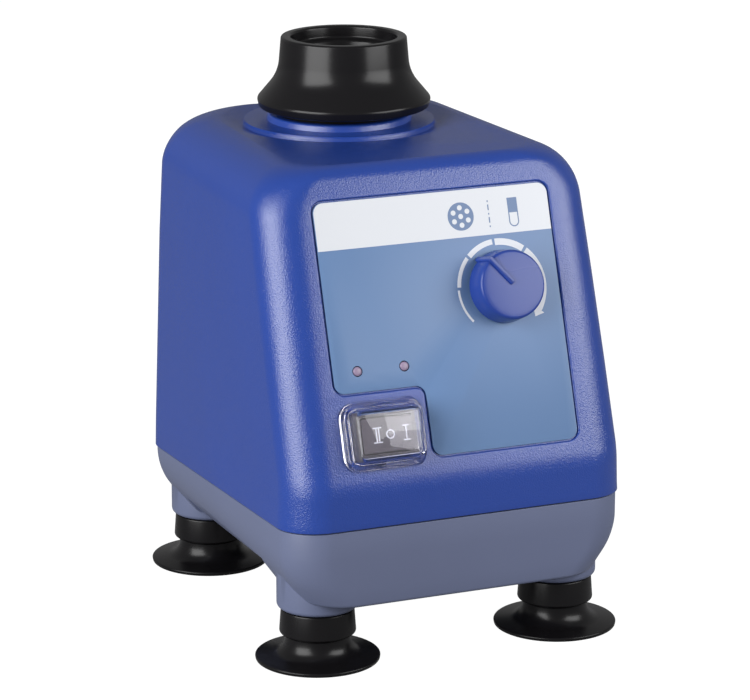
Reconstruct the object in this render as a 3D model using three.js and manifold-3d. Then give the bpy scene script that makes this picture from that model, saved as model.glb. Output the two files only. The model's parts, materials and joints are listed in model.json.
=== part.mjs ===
// Mini vortex mixer for test tubes: a blue moulded housing on a grey base tray, a rubber cup head
// that a motor swings in a small circle, a rocker switch under a clear cap and a speed knob.
// Millimetres, +Z up, front toward -Y, right toward +X, origin under the middle of the object.
import * as THREE from 'three';
import Module from 'manifold-3d';
import { mergeVertices } from 'three/addons/utils/BufferGeometryUtils.js';

const wasm = await Module();
wasm.setup();
const degrees = THREE.MathUtils.degToRad;

// Fits shared by every piece
const gap = 0.3;               // between pieces that touch
const overrun = 5;             // how far a cutting shape runs past the surface that it opens
const weldDistance = 0.0001;   // vertices closer than this are one

// Housing
const housingWidth = 120;
const housingDepth = 146.4;
const rearNarrowing = 3;       // each side comes in by this much from front to rear
const cornerRadius = 14;       // upright corners, in plan
const partingFrontHeight = 48.9;
const partingRearHeight = 41.5;
const partingGap = 0.4;
const kneeHeight = 62.6;       // where the upright front starts to lean back
const kneeRadius = 20;
const leanAngle = degrees(18.45);
const draftAngle = degrees(1.55);
const topHeight = 160.2;
const sideTopRadius = 16.5;
const rearTopRadius = 9;
const frontTopRadius = 6;
const wall = 2.8;

// Tray
const trayStep = 0.4;          // the tray stands back this far from the housing
const trayBottomHeight = 22.4;
const trayCurveRise = 18.6;     // the sides curve in below this, over the tray's bottom
const trayCurveRadius = 21;
const trayCurveAngle = degrees(36);
const trayFrontDraft = degrees(2);
const trayWall = 3.4;
const trayFloor = 3;
const gripDepth = 2.6;         // finger recess low on each side
const gripHeight = 9;
const gripFrontMargin = 36.2;  // from the housing's front, and from its rear
const gripRearMargin = 31.2;

// Feet and their bosses
const frontFootInset = 17.05;  // of its middle from the housing's side
const rearFootInset = 21.2;
const frontFootSetback = 21.6; // of its middle from the housing's front
const rearFootSetback = 16;    // and from its rear
const bossRadius = 13.4;
const bossDrop = 4.6;          // of its lower end under the tray
const bossEdgeRadius = 1.6;
const bossRise = 7.6;          // of its upper end over the tray's bottom
const footBrimRadius = 20.9;
const footBrimThickness = 0.9;
const footContactInset = 1.5;
const footStemTopRadius = 12;
const footStemRadius = 12.6;
const footStepHeight = 9;
const footNeckRadius = 10.6;
const footSpigotRadius = 6;
const footSpigotLength = 4;
const footScrewSeatHeight = 8.4;
const footScrewRadius = 2;
const footScrewHeadRadius = 3.8;
const footScrewHeadHeight = 2.4;
const footScrewLength = 16;

// Collar on the top, around the drive axis
const driveAxisSetback = 41.9; // from the housing's rear
const saucerDepth = 1.7;       // shallow moat that the collar stands in
const saucerWidth = 6.4;
const collarLedge = 9.2;       // width of the lower ring around the smaller one
const collarRise = 0.4;        // over the top
const innerCollarWall = 2.9;   // around the boot's seat
const innerCollarRise = 1.9;
const collarEdgeRadius = 1.1;
const bootLedge = 3.5;         // width of the ledge that the boot rests on
const bootSeatDepth = 4;
const bootWall = 4.6;
const bootClearance = 1.15;    // of the swinging holder in the boot
const bootRise = 2.9;          // over the smaller ring
const bootEdge = 0.8;

// Motor and its mounting
const switchRoom = 29.8;       // for the touch switch, between ballast plate and bracket
const bracketThickness = 2.5;
const bracketSideMargin = 6;   // beyond the isolators' middles
const bracketEndMargin = 7;
const bracketBoreRadius = 9;
const isolatorMargin = 8;      // of its middle from the motor's side
const isolatorY = 16;          // from the drive axis
const isolatorRadius = 6;
const isolatorHeight = 7;
const pillarRadius = 5;
const isolatorScrewRadius = 2;
const isolatorScrewHeadRadius = 4;
const isolatorScrewHeadHeight = 2.6;
const isolatorScrewLength = 22;
const motorRadius = 29;
const motorCanWall = 1.5;
const motorBase = 3;
const motorHubWall = 2.7;
const motorCapThickness = 2.5;
const canScrewX = 20;
const canScrewRadius = 1.5;
const canScrewHeadRadius = 2.8;
const canScrewHeadHeight = 2;
const statorBoreRadius = 18.2;
const statorShare = 13 / 21;   // of the room between the hub and the end cap
const statorClearance = 3.7;   // of its bottom over the hub
const rotorRadius = 17.5;
const bearingRadius = 11;
const bearingHeight = 7;
const bearingLip = 4;          // how far a seat's lip reaches in under or over a bearing

// Drive line, from the switch under the shaft up to the cup
const orbitRadius = 1.75;
const pressTravel = 1.5;
const shaftRadius = 4;
const shaftFootDistance = 1;   // of the shaft's lower end over the bracket
const camCrown = 2.5;          // of the cam over the shaft's end
const plungerRadius = 3.2;
const plungerFlangeEdge = 0.4; // beyond the spring
const plungerFlangeHeight = 1.6;
const plungerClearance = 1.9;  // of its flange under the bracket
const springRadius = 6.6;
const springWire = 1.4;
const microHeadroom = 3.1;     // over the microswitch, and beside it
const switchBracketThickness = 1.5;
const switchBracketDepth = 15;
const microWidth = 19.8;
const microDepth = 6.4;
const microHeight = 10;
const microButtonWidth = 3;
const microButtonDepth = 2;
const microButtonRise = 1.4;
const microButtonLength = 4.4;
const camRadius = 10.5;
const camHeight = 7;
const camPinInset = 0.5;       // of the pin's end under the bearing's upper face
const camShoulderRadius = 6.5;
const camShoulderHeight = 2.7;
const camPinRadius = 4.7;
const camScrewRadius = 1.6;
const camScrewInset = 1.2;     // of its outer end in the cam
const weightDrop = 3.5;        // of its top under the cam
const motorDrop = 6.6;         // of the motor's top under the weight
const weightThickness = 5;
const weightRadius = 21;
const weightHubRadius = 8;

// Cup head and its holder
const cupClearance = 1.9;      // of its lower edge over the collar
const cupHeight = 24;
const cupFlareWidth = 8.2;     // of the widest place beyond the rim
const cupLipFlare = 4.5;       // of the widest place beyond the lower edge
const cupLipHeight = 3;        // of the widest place over the lower edge
const cupLipWall = 1.4;
const cupRimWall = 3.4;
const cupBoreDepth = 10;
const cupRimEdge = 0.9;
const cupSwingRoom = 0.35;     // of the boot in the swinging cup
const cupRecessDepth = 4;
const cupSocketDepth = 5.4;
const holderWall = 2.4;
const holderHeight = 21;

// Slanted front: x to the right, v up the slope from the knee, h out of the face
const labelSideMargin = 18.7;  // from the housing's side
const labelBottom = 7.6;
const labelTopMargin = 10.888; // down the slope from the top's height
const labelCornerRadius = 3.4;
const labelThickness = 0.5;
const labelGroove = 0.5;
const notchSideMargin = 2.5;   // around the clear cover
const notchTopMargin = 3.2;
const lampRise = 6.8;          // over the notch
const lampOuterOffset = 5.95;  // to the left of the switch's middle
const lampInnerOffset = 10.35; // to its right
const lampRadius = 1.45;
const lampLength = 7;
const lampDome = 0.5;

// Rocker switch and its clear cover
const switchInset = 14.35;     // of its middle from the label's left edge
const switchV = 16.4;
const bezelWidth = 21.8;
const bezelLength = 15.4;
const bezelHeight = 2;
const bezelCornerRadius = 1.2;
const bezelSideEdge = 1;       // beyond the body behind it
const bezelEndEdge = 1.1;
const switchBodyDepth = 16;
const pocketSideWall = 0.6;
const pocketEndWall = 0.65;
const terminalWidth = 0.8;
const terminalLength = 6.3;
const terminalReach = 7;
const terminalPitch = 6.4;
const rockerPlay = 0.5;        // at each end in its pocket
const rockerAxisHeight = 1;
const rockerRise = 3.6;        // of its middle over its axis
const rockerFall = 1;          // its ends lie lower than its middle by this much
const rockerSkirt = 1;
const rockerHubRadius = 3.2;
const coverSideMargin = 3.35;  // beyond the bezel
const coverEndMargin = 3.3;
const coverHeight = 7.6;
const coverFlangeHeight = 1.8;
const coverSideFlange = 1.8;
const coverEndFlange = 1.75;
const coverDomeTaper = 1.2;    // each side, from its foot to its top
const coverTopRadius = 1.4;
const coverWall = 1;
const coverCornerRadius = 3.4;

// Speed knob and its potentiometer
const knobInset = 20.2;        // of its middle from the label's right edge
const knobDrop = 32.7;         // and from the label's upper edge
const knobRadius = 12;
const knobTaper = 0.8;
const knobHeight = 9.2;
const knobStandOff = 0.6;
const knobEdgeRadius = 0.9;
const knobWall = 2.6;
const knobRecessDepth = 3.6;
const knobBoreEnd = 1.2;       // plastic left over the shaft's end
const pointerAngle = degrees(128.7);
const pointerWidth = 1.9;
const pointerRise = 0.8;
const pointerReach = 0.9;
const potShaftRadius = 3;
const potBushWall = 1.8;
const potBushReach = 3.4;
const potRadius = 8.3;
const potDepth = 8;
const potNutAcross = 13;
const potNutHeight = 2;

// Circuit board behind the slanted front
const boardThickness = 1.6;
const boardDepth = 15;         // its front, behind the outer face
const boardSideMargin = 3.3;   // inside the label's edges
const boardFootShare = 0.0228; // of the way from the notch to the label's upper edge
const boardHeadShare = 0.8697;
const boardPostRadius = 3;
const boardHeaderWidth = 12;
const boardHeaderLength = 6;
const boardScrewInset = 5;
const boardScrewDrop = 7;
const boardScrewRadius = 1.3;
const boardScrewHeadRadius = 2.4;
const boardScrewHeadHeight = 1.6;
const boardScrewLength = 6;

// Ballast plate on the tray's floor
const plateThickness = 8;
const plateFrontMargin = 39.2; // from the housing's front, and from its rear
const plateRearMargin = 29.2;
const plateClearance = 1.2;
const platePinInset = 10.8;
const platePinSetback = 8;
const platePinRadius = 2.5;
const platePinHeadRadius = 4;
const platePinHeadHeight = 1.5;

// Screws that join tray and housing
const frontScrewInset = 21;    // from the housing's side
const frontScrewSetback = 23.6; // behind the front feet
const rearScrewMargin = 6.5;   // beside the power inlet
const rearScrewInset = 10.6;   // from the housing's rear
const housingScrewRadius = 1.8;
const housingScrewHeadRadius = 3.4;
const housingScrewHeadHeight = 2.4;
const housingScrewLength = 30;
const housingPostRadius = 4.6;

// Power inlet at the rear
const inletRise = 12.9;        // of its middle over the parting line
const inletWidth = 27;
const inletTall = 19.8;
const inletDepth = 13;
const inletFlangeSide = 2;
const inletFlangeEnd = 1.3;
const inletFlangeThickness = 2.4;
const inletPocketSideWall = 1.5;
const inletPocketEndWall = 1.6;
const inletPocketInset = 1;
const inletPinWidth = 2;
const inletPinTall = 4;
const inletPinInset = 2;
const inletPinPitch = 7;
const inletEarthRise = 2;
const inletPinDrop = 2;

// Places and sizes that follow: in plan
const halfWidth = housingWidth / 2;
const halfDepth = housingDepth / 2;
const driveAxisY = halfDepth - driveAxisSetback;
const driveAxis = [0, driveAxisY];
const orbitAxis = [orbitRadius, driveAxisY];
const frontFootX = halfWidth - frontFootInset;
const frontFootY = frontFootSetback - halfDepth;
const rearFootX = halfWidth - rearFootInset;
const rearFootY = halfDepth - rearFootSetback;
const gripFrontDistance = halfDepth - gripFrontMargin;
const gripRearDistance = halfDepth - gripRearMargin;
const isolatorX = motorRadius + isolatorMargin;
const bracketWidth = 2 * (isolatorX + bracketSideMargin);
const bracketDepth = 2 * (isolatorY + bracketEndMargin);
const plateFront = plateFrontMargin - halfDepth;
const plateRear = halfDepth - plateRearMargin;
const platePinY = plateFront + platePinSetback;
const frontScrewX = halfWidth - frontScrewInset;
const plateHalfWidth = Math.min(isolatorX - pillarRadius, frontScrewX - housingPostRadius) - plateClearance;
const platePinX = plateHalfWidth - platePinInset;
const frontScrewY = frontFootY + frontScrewSetback;
const rearScrewX = inletWidth / 2 + rearScrewMargin;
const rearScrewY = halfDepth - rearScrewInset;

// Radii, from the bearing outward
const footContactRadius = footBrimRadius - footContactInset;
const bearingSeat = bearingRadius + gap;
const motorHubRadius = bearingSeat + motorHubWall;
const holderRadius = bearingSeat + holderWall;
const bootBoreRadius = holderRadius + orbitRadius + bootClearance;
const bootSeatRadius = bootBoreRadius + bootWall + gap;
const collarBoreRadius = bootSeatRadius - bootLedge;
const innerCollarRadius = bootSeatRadius + innerCollarWall;
const collarRadius = innerCollarRadius + collarLedge;
const saucerRadius = collarRadius + saucerWidth;
const cupRecessRadius = bootSeatRadius + orbitRadius + cupSwingRoom;
const cupBottomRadius = cupRecessRadius + cupLipWall;
const cupFlareRadius = cupBottomRadius + cupLipFlare;
const cupRimRadius = cupFlareRadius - cupFlareWidth;
const cupBoreRadius = cupRimRadius - cupRimWall;
const plungerFlangeRadius = springRadius + plungerFlangeEdge;

// Heights, from the tray up to the motor's bracket
const trayCurveHeight = trayBottomHeight + trayCurveRise;
const bossBottomHeight = trayBottomHeight - bossDrop;
const bossTopHeight = trayBottomHeight + bossRise;
const floorTop = trayBottomHeight + trayFloor;
const plateTop = floorTop + gap + plateThickness;
const microBottom = plateTop + gap;
const microTop = microBottom + microHeight;
const switchBracketTop = microTop + microHeadroom + switchBracketThickness;
const switchBracketWidth = microWidth + 2 * microHeadroom;
const bracketHeight = plateTop + switchRoom + bracketThickness;
const plungerFlangeTop = bracketHeight - bracketThickness - plungerClearance;
const canBottom = bracketHeight + gap;
const canFloor = canBottom + motorBase;
const lowerBearingBottom = canFloor + gap;
const hubTop = lowerBearingBottom + bearingHeight;

// Heights from the cup down to the motor, which fills what is left
const collarTopHeight = topHeight + collarRise;
const innerCollarTop = collarTopHeight + innerCollarRise;
const bootSeatHeight = innerCollarTop - bootSeatDepth;
const bootTopHeight = innerCollarTop + bootRise;
const cupBottom = innerCollarTop + cupClearance;
const cupRimHeight = cupBottom + cupHeight;
const cupFlareDrop = cupHeight - cupLipHeight;
const hubBottom = cupBottom + cupRecessDepth;
const socketTop = hubBottom + cupSocketDepth;
const headBearingBottom = socketTop - gap - holderHeight;
const camPinTop = headBearingBottom + bearingHeight - camPinInset;
const camShoulderTop = headBearingBottom - gap;
const camTopHeight = camShoulderTop - camShoulderHeight;
const camBottom = camTopHeight - camHeight;
const camScrewHeight = camTopHeight - camHeight / 2;
const shaftTopHeight = camTopHeight - camCrown;
const weightTop = camBottom - weightDrop;
const weightBottomHeight = weightTop - weightThickness;
const motorTop = weightBottomHeight - motorDrop;
const capBottom = motorTop - motorCanWall - gap - bearingHeight;
const motorCanTop = capBottom - gap;
const statorBottom = hubTop + statorClearance;
const statorTop = statorBottom + statorShare * (capBottom - hubTop);

// Places on the slanted front
const faceLength = (topHeight - kneeHeight) / Math.cos(leanAngle);
const labelHalfWidth = halfWidth - labelSideMargin;
const labelTop = faceLength - labelTopMargin;
const coverWidth = bezelWidth + 2 * coverSideMargin;
const coverLength = bezelLength + 2 * coverEndMargin;
const coverDomeWidth = coverWidth - 2 * coverSideFlange;
const coverDomeLength = coverLength - 2 * coverEndFlange;
const switchBodyWidth = bezelWidth - 2 * bezelSideEdge;
const switchBodyLength = bezelLength - 2 * bezelEndEdge;
const pocketWidth = switchBodyWidth - 2 * pocketSideWall;
const pocketLength = switchBodyLength - 2 * pocketEndWall;
const rockerWidth = pocketWidth - 2 * rockerPlay;
const switchX = switchInset - labelHalfWidth;
const notchRight = switchX + coverWidth / 2 + notchSideMargin;
const notchTop = switchV + coverLength / 2 + notchTopMargin;
const lampV = notchTop + lampRise;
const lampOuterX = switchX - lampOuterOffset;
const lampInnerX = switchX + lampInnerOffset;
const knobX = labelHalfWidth - knobInset;
const knobV = labelTop - knobDrop;
const knobFaceRadius = knobRadius - knobTaper;
const knobRecessRadius = knobFaceRadius - knobWall;
const potBushRadius = potShaftRadius + potBushWall;
const boardWidth = 2 * (labelHalfWidth - boardSideMargin);
const boardBottom = notchTop + boardFootShare * (labelTop - notchTop);
const boardTop = notchTop + boardHeadShare * (labelTop - notchTop);
const boardScrewX = boardWidth / 2 - boardScrewInset;
const boardScrewV = boardTop - boardScrewDrop;

// The power inlet
const inletHeight = partingRearHeight + inletRise;
const inletFlangeWidth = inletWidth + 2 * inletFlangeSide;
const inletFlangeTall = inletTall + 2 * inletFlangeEnd;
const inletPocketWidth = inletWidth - 2 * inletPocketSideWall;
const inletPocketTall = inletTall - 2 * inletPocketEndWall;
const inletPocketDepth = inletDepth - inletPocketInset;
const inletPinLength = inletPocketDepth - inletPinInset;

// Sides of the turned shapes
const finest = 38;
const fine = 28;
const medium = 18;
const plain = 12;
const coarse = 8;

const finish = (color, roughness, metalness = 0) => new THREE.MeshStandardMaterial({ color, roughness, metalness });
const materials = {
  housing: finish(0x41549f, 0.42),
  tray: finish(0x77839a, 0.5),
  rubber: finish(0x1b1b1d, 0.45),
  label: finish(0x7d97c2, 0.35),
  clear: finish(0xdfe6f0, 0.08),
  rocker: finish(0x8f8d94, 0.4),
  black: finish(0x202024, 0.5),
  lamp: finish(0xb07a86, 0.2),
  steel: finish(0xb9bcc2, 0.3, 1),
  iron: finish(0x55585c, 0.6, 1),
  brass: finish(0xb5954e, 0.35, 1),
  board: finish(0x2c6b45, 0.5),
};

// A closed three.js geometry becomes a manifold, and a manifold becomes a geometry again

function signedVolume(positions, triangles) {
  const [a, b, c] = [new THREE.Vector3(), new THREE.Vector3(), new THREE.Vector3()];
  let sum = 0;
  for (let i = 0; i < triangles.length; i += 3) {
    a.fromArray(positions, 3 * triangles[i]);
    b.fromArray(positions, 3 * triangles[i + 1]);
    c.fromArray(positions, 3 * triangles[i + 2]);
    sum += a.dot(b.cross(c));
  }
  return sum / 6;
}

function solid(geometry) {
  const bare = geometry.clone();
  bare.deleteAttribute('normal');
  bare.deleteAttribute('uv');
  const merged = mergeVertices(bare, weldDistance);
  const positions = merged.attributes.position.array;
  const index = merged.index.array;
  const triangles = [];
  for (let i = 0; i < index.length; i += 3) {
    const [a, b, c] = [index[i], index[i + 1], index[i + 2]];
    if (a !== b && b !== c && c !== a) triangles.push(a, b, c);
  }
  if (signedVolume(positions, triangles) < 0) triangles.reverse();
  return new wasm.Manifold(new wasm.Mesh({
    numProp: 3, vertProperties: new Float32Array(positions), triVerts: new Uint32Array(triangles),
  }));
}

function geometryOf(body) {
  const mesh = body.getMesh();
  const geometry = new THREE.BufferGeometry();
  geometry.setAttribute('position', new THREE.BufferAttribute(new Float32Array(mesh.vertProperties), 3));
  geometry.setIndex(new THREE.BufferAttribute(new Uint32Array(mesh.triVerts), 1));
  geometry.computeVertexNormals();
  return geometry;
}

const join = (first, ...others) => others.reduce((body, other) => body.add(other), first);
const cut = (body, ...tools) => tools.reduce((rest, tool) => rest.subtract(tool), body);

// Turned about an upright axis, from a profile of [radius, height] points
function turned(profile, segments, place = [0, 0]) {
  const points = profile.map(([radius, height]) => new THREE.Vector2(radius, height));
  const geometry = new THREE.LatheGeometry(points, segments);
  geometry.rotateX(Math.PI / 2);
  geometry.translate(place[0], place[1], 0);
  return solid(geometry);
}

const rod = (radius, bottom, top, segments = plain, place = [0, 0]) =>
  turned([[0, bottom], [radius, bottom], [radius, top], [0, top]], segments, place);

const sleeve = (bore, radius, bottom, top, segments = medium, place = [0, 0]) =>
  turned([[bore, bottom], [radius, bottom], [radius, top], [bore, top], [bore, bottom]], segments, place);

// Upright screw with its head under the seat, or over it when it points down
function screw(radius, headRadius, headHeight, length, seat, direction, place = [0, 0]) {
  const [crown, tip] = [seat - direction * headHeight, seat + direction * length];
  return turned([[0, crown], [headRadius, crown], [headRadius, seat], [radius, seat], [radius, tip], [0, tip]],
    coarse, place);
}

// Upright block from its middle in plan, its size, and its bottom and top
function block(x, y, width, depth, bottom, top) {
  const geometry = new THREE.BoxGeometry(width, depth, top - bottom);
  geometry.translate(x, y, (top + bottom) / 2);
  return solid(geometry);
}

function roundedRectangle(x, y, width, length, radius) {
  const [left, right] = [x - width / 2, x + width / 2];
  const [bottom, top] = [y - length / 2, y + length / 2];
  const shape = new THREE.Shape();
  shape.moveTo(left + radius, bottom);
  shape.absarc(right - radius, bottom + radius, radius, -Math.PI / 2, 0);
  shape.absarc(right - radius, top - radius, radius, 0, Math.PI / 2);
  shape.absarc(left + radius, top - radius, radius, Math.PI / 2, Math.PI);
  shape.absarc(left + radius, bottom + radius, radius, Math.PI, 3 * Math.PI / 2);
  return shape;
}

function slab(shape, bottom, top, curveSegments = 5) {
  const geometry = new THREE.ExtrudeGeometry(shape, { depth: top - bottom, bevelEnabled: false, curveSegments });
  geometry.translate(0, 0, bottom);
  return solid(geometry);
}

// Skin through a stack of level rings with equal numbers of points, capped at both ends
function loft(rings) {
  const count = rings[0].length;
  const triangles = [];
  for (let level = 0; level + 1 < rings.length; level += 1) {
    for (let i = 0; i < count; i += 1) {
      const [a, b] = [level * count + i, level * count + (i + 1) % count];
      triangles.push(a, b, b + count, a, b + count, a + count);
    }
  }
  const last = (rings.length - 1) * count;
  for (let i = 1; i + 1 < count; i += 1) triangles.push(0, i + 1, i, last, last + i, last + i + 1);
  const geometry = new THREE.BufferGeometry();
  geometry.setAttribute('position', new THREE.BufferAttribute(new Float32Array(rings.flat(2)), 3));
  geometry.setIndex(triangles);
  return solid(geometry);
}

// Level ring with four round corners, from where its front and rear lie and how wide it is there
function levelRing(height, front, rear, frontHalf, rearHalf, radius, steps) {
  const corners = [
    [frontHalf - radius, front + radius, -Math.PI / 2], [rearHalf - radius, rear - radius, 0],
    [radius - rearHalf, rear - radius, Math.PI / 2], [radius - frontHalf, front + radius, Math.PI],
  ];
  const ring = [];
  for (const [x, y, start] of corners) {
    for (let i = 0; i <= steps; i += 1) {
      const angle = start + (i / steps) * Math.PI / 2;
      ring.push([x + radius * Math.cos(angle), y + radius * Math.sin(angle), height]);
    }
  }
  return ring;
}

// Housing: its outer form and, with an inset, the hollow inside it

const narrowing = (y) => rearNarrowing * (y + halfDepth) / housingDepth;

// How far a round edge has fallen back at a height above its start
function fall(height, start, radius) {
  if (height <= start) return 0;
  return radius - Math.sqrt(Math.max(radius ** 2 - (height - start) ** 2, 0));
}

const slantY = (height, depth) =>
  -halfDepth + (depth + Math.sin(leanAngle) * (height - kneeHeight)) / Math.cos(leanAngle);

const kneeStart = kneeHeight - kneeRadius * Math.tan(leanAngle / 2);

function frontY(height, inset) {
  const upright = -halfDepth + inset;
  const knee = kneeRadius - inset;
  const brow = frontTopRadius - inset;
  const browStart = topHeight - inset - brow;
  if (height < kneeStart + knee * Math.sin(leanAngle)) return upright + fall(height, kneeStart, knee);
  if (height <= browStart + brow * Math.sin(leanAngle)) return slantY(height, inset);
  return slantY(browStart, inset + brow) - brow + fall(height, browStart, brow);
}

function housingRing(height, inset, steps) {
  const top = topHeight - inset;
  const draft = Math.tan(draftAngle) * (height - partingFrontHeight);
  const [sideRadius, rearRadius] = [sideTopRadius - inset, rearTopRadius - inset];
  const half = halfWidth - inset - draft - fall(height, top - sideRadius, sideRadius);
  const front = frontY(height, inset);
  const rear = halfDepth - inset - draft - fall(height, top - rearRadius, rearRadius);
  return levelRing(height, front, rear, half - narrowing(front), half - narrowing(rear), cornerRadius - inset,
    steps);
}

// How closely the round edges are followed outside, and inside where nobody looks
const outsideDetail = {
  kneeShares: [0, 0.33, 0.67, 1], turnShares: [0, 0.15, 0.3, 0.45, 0.6, 0.74, 0.86, 0.95, 1], cornerSteps: 6,
};
const insideDetail = { kneeShares: [0, 1], turnShares: [0, 0.4, 0.8, 1], cornerSteps: 3 };

function housingForm(bottom, inset, { kneeShares, turnShares, cornerSteps }) {
  const kneeRise = (kneeRadius - inset) * Math.sin(leanAngle);
  const sideRadius = sideTopRadius - inset;
  const heights = [
    bottom,
    ...kneeShares.map((share) => kneeStart + share * kneeRise),
    ...turnShares.map((share) => topHeight - inset - sideRadius * (1 - Math.sin(share * Math.PI / 2))),
  ];
  return loft(heights.map((height) => housingRing(height, inset, cornerSteps)));
}

// Height of the parting plane, which drops from the front to the rear
const partingAt = (y) => (partingFrontHeight + partingRearHeight) / 2
  + (partingRearHeight - partingFrontHeight) / housingDepth * y;

function belowParting(offset) {
  const reach = halfDepth + overrun;
  const across = housingWidth + 2 * overrun;
  const shape = new THREE.Shape();
  shape.moveTo(-reach, -overrun);
  shape.lineTo(reach, -overrun);
  shape.lineTo(reach, partingAt(reach) + offset);
  shape.lineTo(-reach, partingAt(-reach) + offset);
  const geometry = new THREE.ExtrudeGeometry(shape, { depth: across, bevelEnabled: false });
  geometry.translate(0, 0, -across / 2);
  geometry.applyMatrix4(new THREE.Matrix4().set(0, 0, 1, 0, 1, 0, 0, 0, 0, 1, 0, 0, 0, 0, 0, 1));
  return solid(geometry);
}

function aboveParting(offset) {
  return cut(block(0, 0, housingWidth + overrun, housingDepth + overrun, 0, topHeight), belowParting(offset));
}

// Slanted face: a frame of its own, and what is cut through it
const face = new THREE.Group();
face.position.set(0, -halfDepth, kneeHeight);
face.rotation.x = Math.PI / 2 - leanAngle;
face.updateMatrix();

const onFace = (body) => solid(geometryOf(body).applyMatrix4(face.matrix));
const faceRod = (x, v, radius, bottom, top, segments = plain) => rod(radius, bottom, top, segments, [x, v]);

// Collar on the top: a wide low ring with a smaller one on it
function collar() {
  const round = collarEdgeRadius;
  const edge = (radius, height) => [
    [radius, height - round],
    [radius - round * (1 - Math.cos(Math.PI / 4)), height - round * (1 - Math.sin(Math.PI / 4))],
    [radius - round, height],
  ];
  return turned([
    [0, topHeight - 2 * wall], [collarRadius, topHeight - 2 * wall], ...edge(collarRadius, collarTopHeight),
    [innerCollarRadius, collarTopHeight], ...edge(innerCollarRadius, innerCollarTop), [0, innerCollarTop],
  ], finest, driveAxis);
}

function saucer() {
  return turned([
    [collarRadius - gap, topHeight - saucerDepth], [collarRadius, topHeight - saucerDepth],
    [saucerRadius, topHeight], [saucerRadius, topHeight + overrun], [collarRadius - gap, topHeight + overrun],
    [collarRadius - gap, topHeight - saucerDepth],
  ], finest, driveAxis);
}

const frontScrewPlaces = [['front_left', -frontScrewX, frontScrewY], ['front_right', frontScrewX, frontScrewY]];
const rearScrewPlaces = [['rear_left', -rearScrewX, rearScrewY], ['rear_right', rearScrewX, rearScrewY]];
const housingScrewPlaces = [...frontScrewPlaces, ...rearScrewPlaces];
const housingScrewSeat = trayBottomHeight + trayFloor;
const housingPostTop = housingScrewSeat + housingScrewLength + 2 * wall;

// Posts inside the housing that take the screws, each with a rib to the wall behind it
function housingPosts() {
  const foot = Math.min(partingFrontHeight, partingRearHeight);
  const posts = housingScrewPlaces.map(([, x, y]) => rod(housingPostRadius, foot, housingPostTop, plain, [x, y]));
  const ribs = frontScrewPlaces.map(([, x, y]) => {
    const end = halfWidth - narrowing(y) - wall;
    return block(Math.sign(x) * (Math.abs(x) + end) / 2, y, end - Math.abs(x), wall, foot, housingPostTop);
  });
  for (const [, x, y] of rearScrewPlaces) {
    const end = halfDepth - wall;
    ribs.push(block(x, (y + end) / 2, wall, end - y, foot, housingPostTop));
  }
  return join(...posts, ...ribs);
}

const boardScrewPlaces = [['left', -boardScrewX], ['right', boardScrewX]];
const boardPostEnd = -boardDepth + gap;

function faceOpenings() {
  const lampHole = (x) => faceRod(x, lampV, lampRadius + gap, -2 * wall, overrun, coarse);
  const screwHole = (x) => faceRod(x, boardScrewV, boardScrewRadius + gap,
    boardPostEnd - overrun, boardPostEnd + boardScrewLength, coarse);
  return [
    slab(labelShape(labelGroove), -labelThickness - gap, overrun),
    slab(roundedRectangle(switchX, switchV, switchBodyWidth + 2 * gap, switchBodyLength + 2 * gap, gap),
      -2 * wall, overrun),
    faceRod(knobX, knobV, potBushRadius + gap, -2 * wall, overrun, medium),
    lampHole(lampOuterX), lampHole(lampInnerX), screwHole(-boardScrewX), screwHole(boardScrewX),
  ].map(onFace);
}

function upperHousing() {
  const bottom = Math.min(partingFrontHeight, partingRearHeight) - overrun;
  const outer = join(cut(housingForm(bottom, 0, outsideDetail), saucer()), collar());
  const shell = cut(outer, housingForm(bottom - overrun, wall, insideDetail));
  const throat = sleeve(collarBoreRadius, bootSeatRadius + wall, bootSeatHeight - 2 * wall, topHeight - wall / 2,
    fine, driveAxis);
  const boardPosts = boardScrewPlaces.map(([, x]) =>
    onFace(faceRod(x, boardScrewV, boardPostRadius, boardPostEnd, -wall + gap)));
  const screwHoles = housingScrewPlaces.map(([, x, y]) =>
    rod(housingScrewRadius + gap, 0, housingPostTop - wall, coarse, [x, y]));
  return cut(join(shell, throat, housingPosts(), ...boardPosts),
    rod(collarBoreRadius, bootSeatHeight - overrun, topHeight + overrun, fine, driveAxis),
    rod(bootSeatRadius, bootSeatHeight, bootSeatHeight + bootSeatDepth + overrun, fine, driveAxis),
    ...screwHoles, ...faceOpenings(),
    rearBlock(inletWidth + 2 * gap, inletTall + 2 * gap, -2 * wall, overrun),
    belowParting(partingGap / 2));
}

// Tray: its outer form and hollow

function trayInset(height) {
  const bend = Math.min(Math.max(trayCurveHeight - height, 0), trayCurveRadius * Math.sin(trayCurveAngle));
  const straight = Math.max(trayCurveHeight - height, 0) - bend;
  return trayCurveRadius - Math.sqrt(trayCurveRadius ** 2 - bend ** 2) + straight * Math.tan(trayCurveAngle);
}

function trayRing(height, inset, steps) {
  const half = halfWidth - trayStep - inset - trayInset(height);
  const draft = Math.max(trayCurveHeight - height, 0) * Math.tan(trayFrontDraft);
  const reach = halfDepth - trayStep - inset - draft;
  return levelRing(height, -reach, reach, half - narrowing(-reach), half - narrowing(reach), cornerRadius - inset,
    steps);
}

function trayForm(bottom, top, inset, curveShares, steps) {
  const bends = curveShares.map((share) => trayCurveHeight - share * trayCurveRadius * Math.sin(trayCurveAngle));
  const heights = [bottom, ...bends.filter((height) => height > bottom), top];
  return loft(heights.map((height) => trayRing(height, inset, steps)));
}

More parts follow.
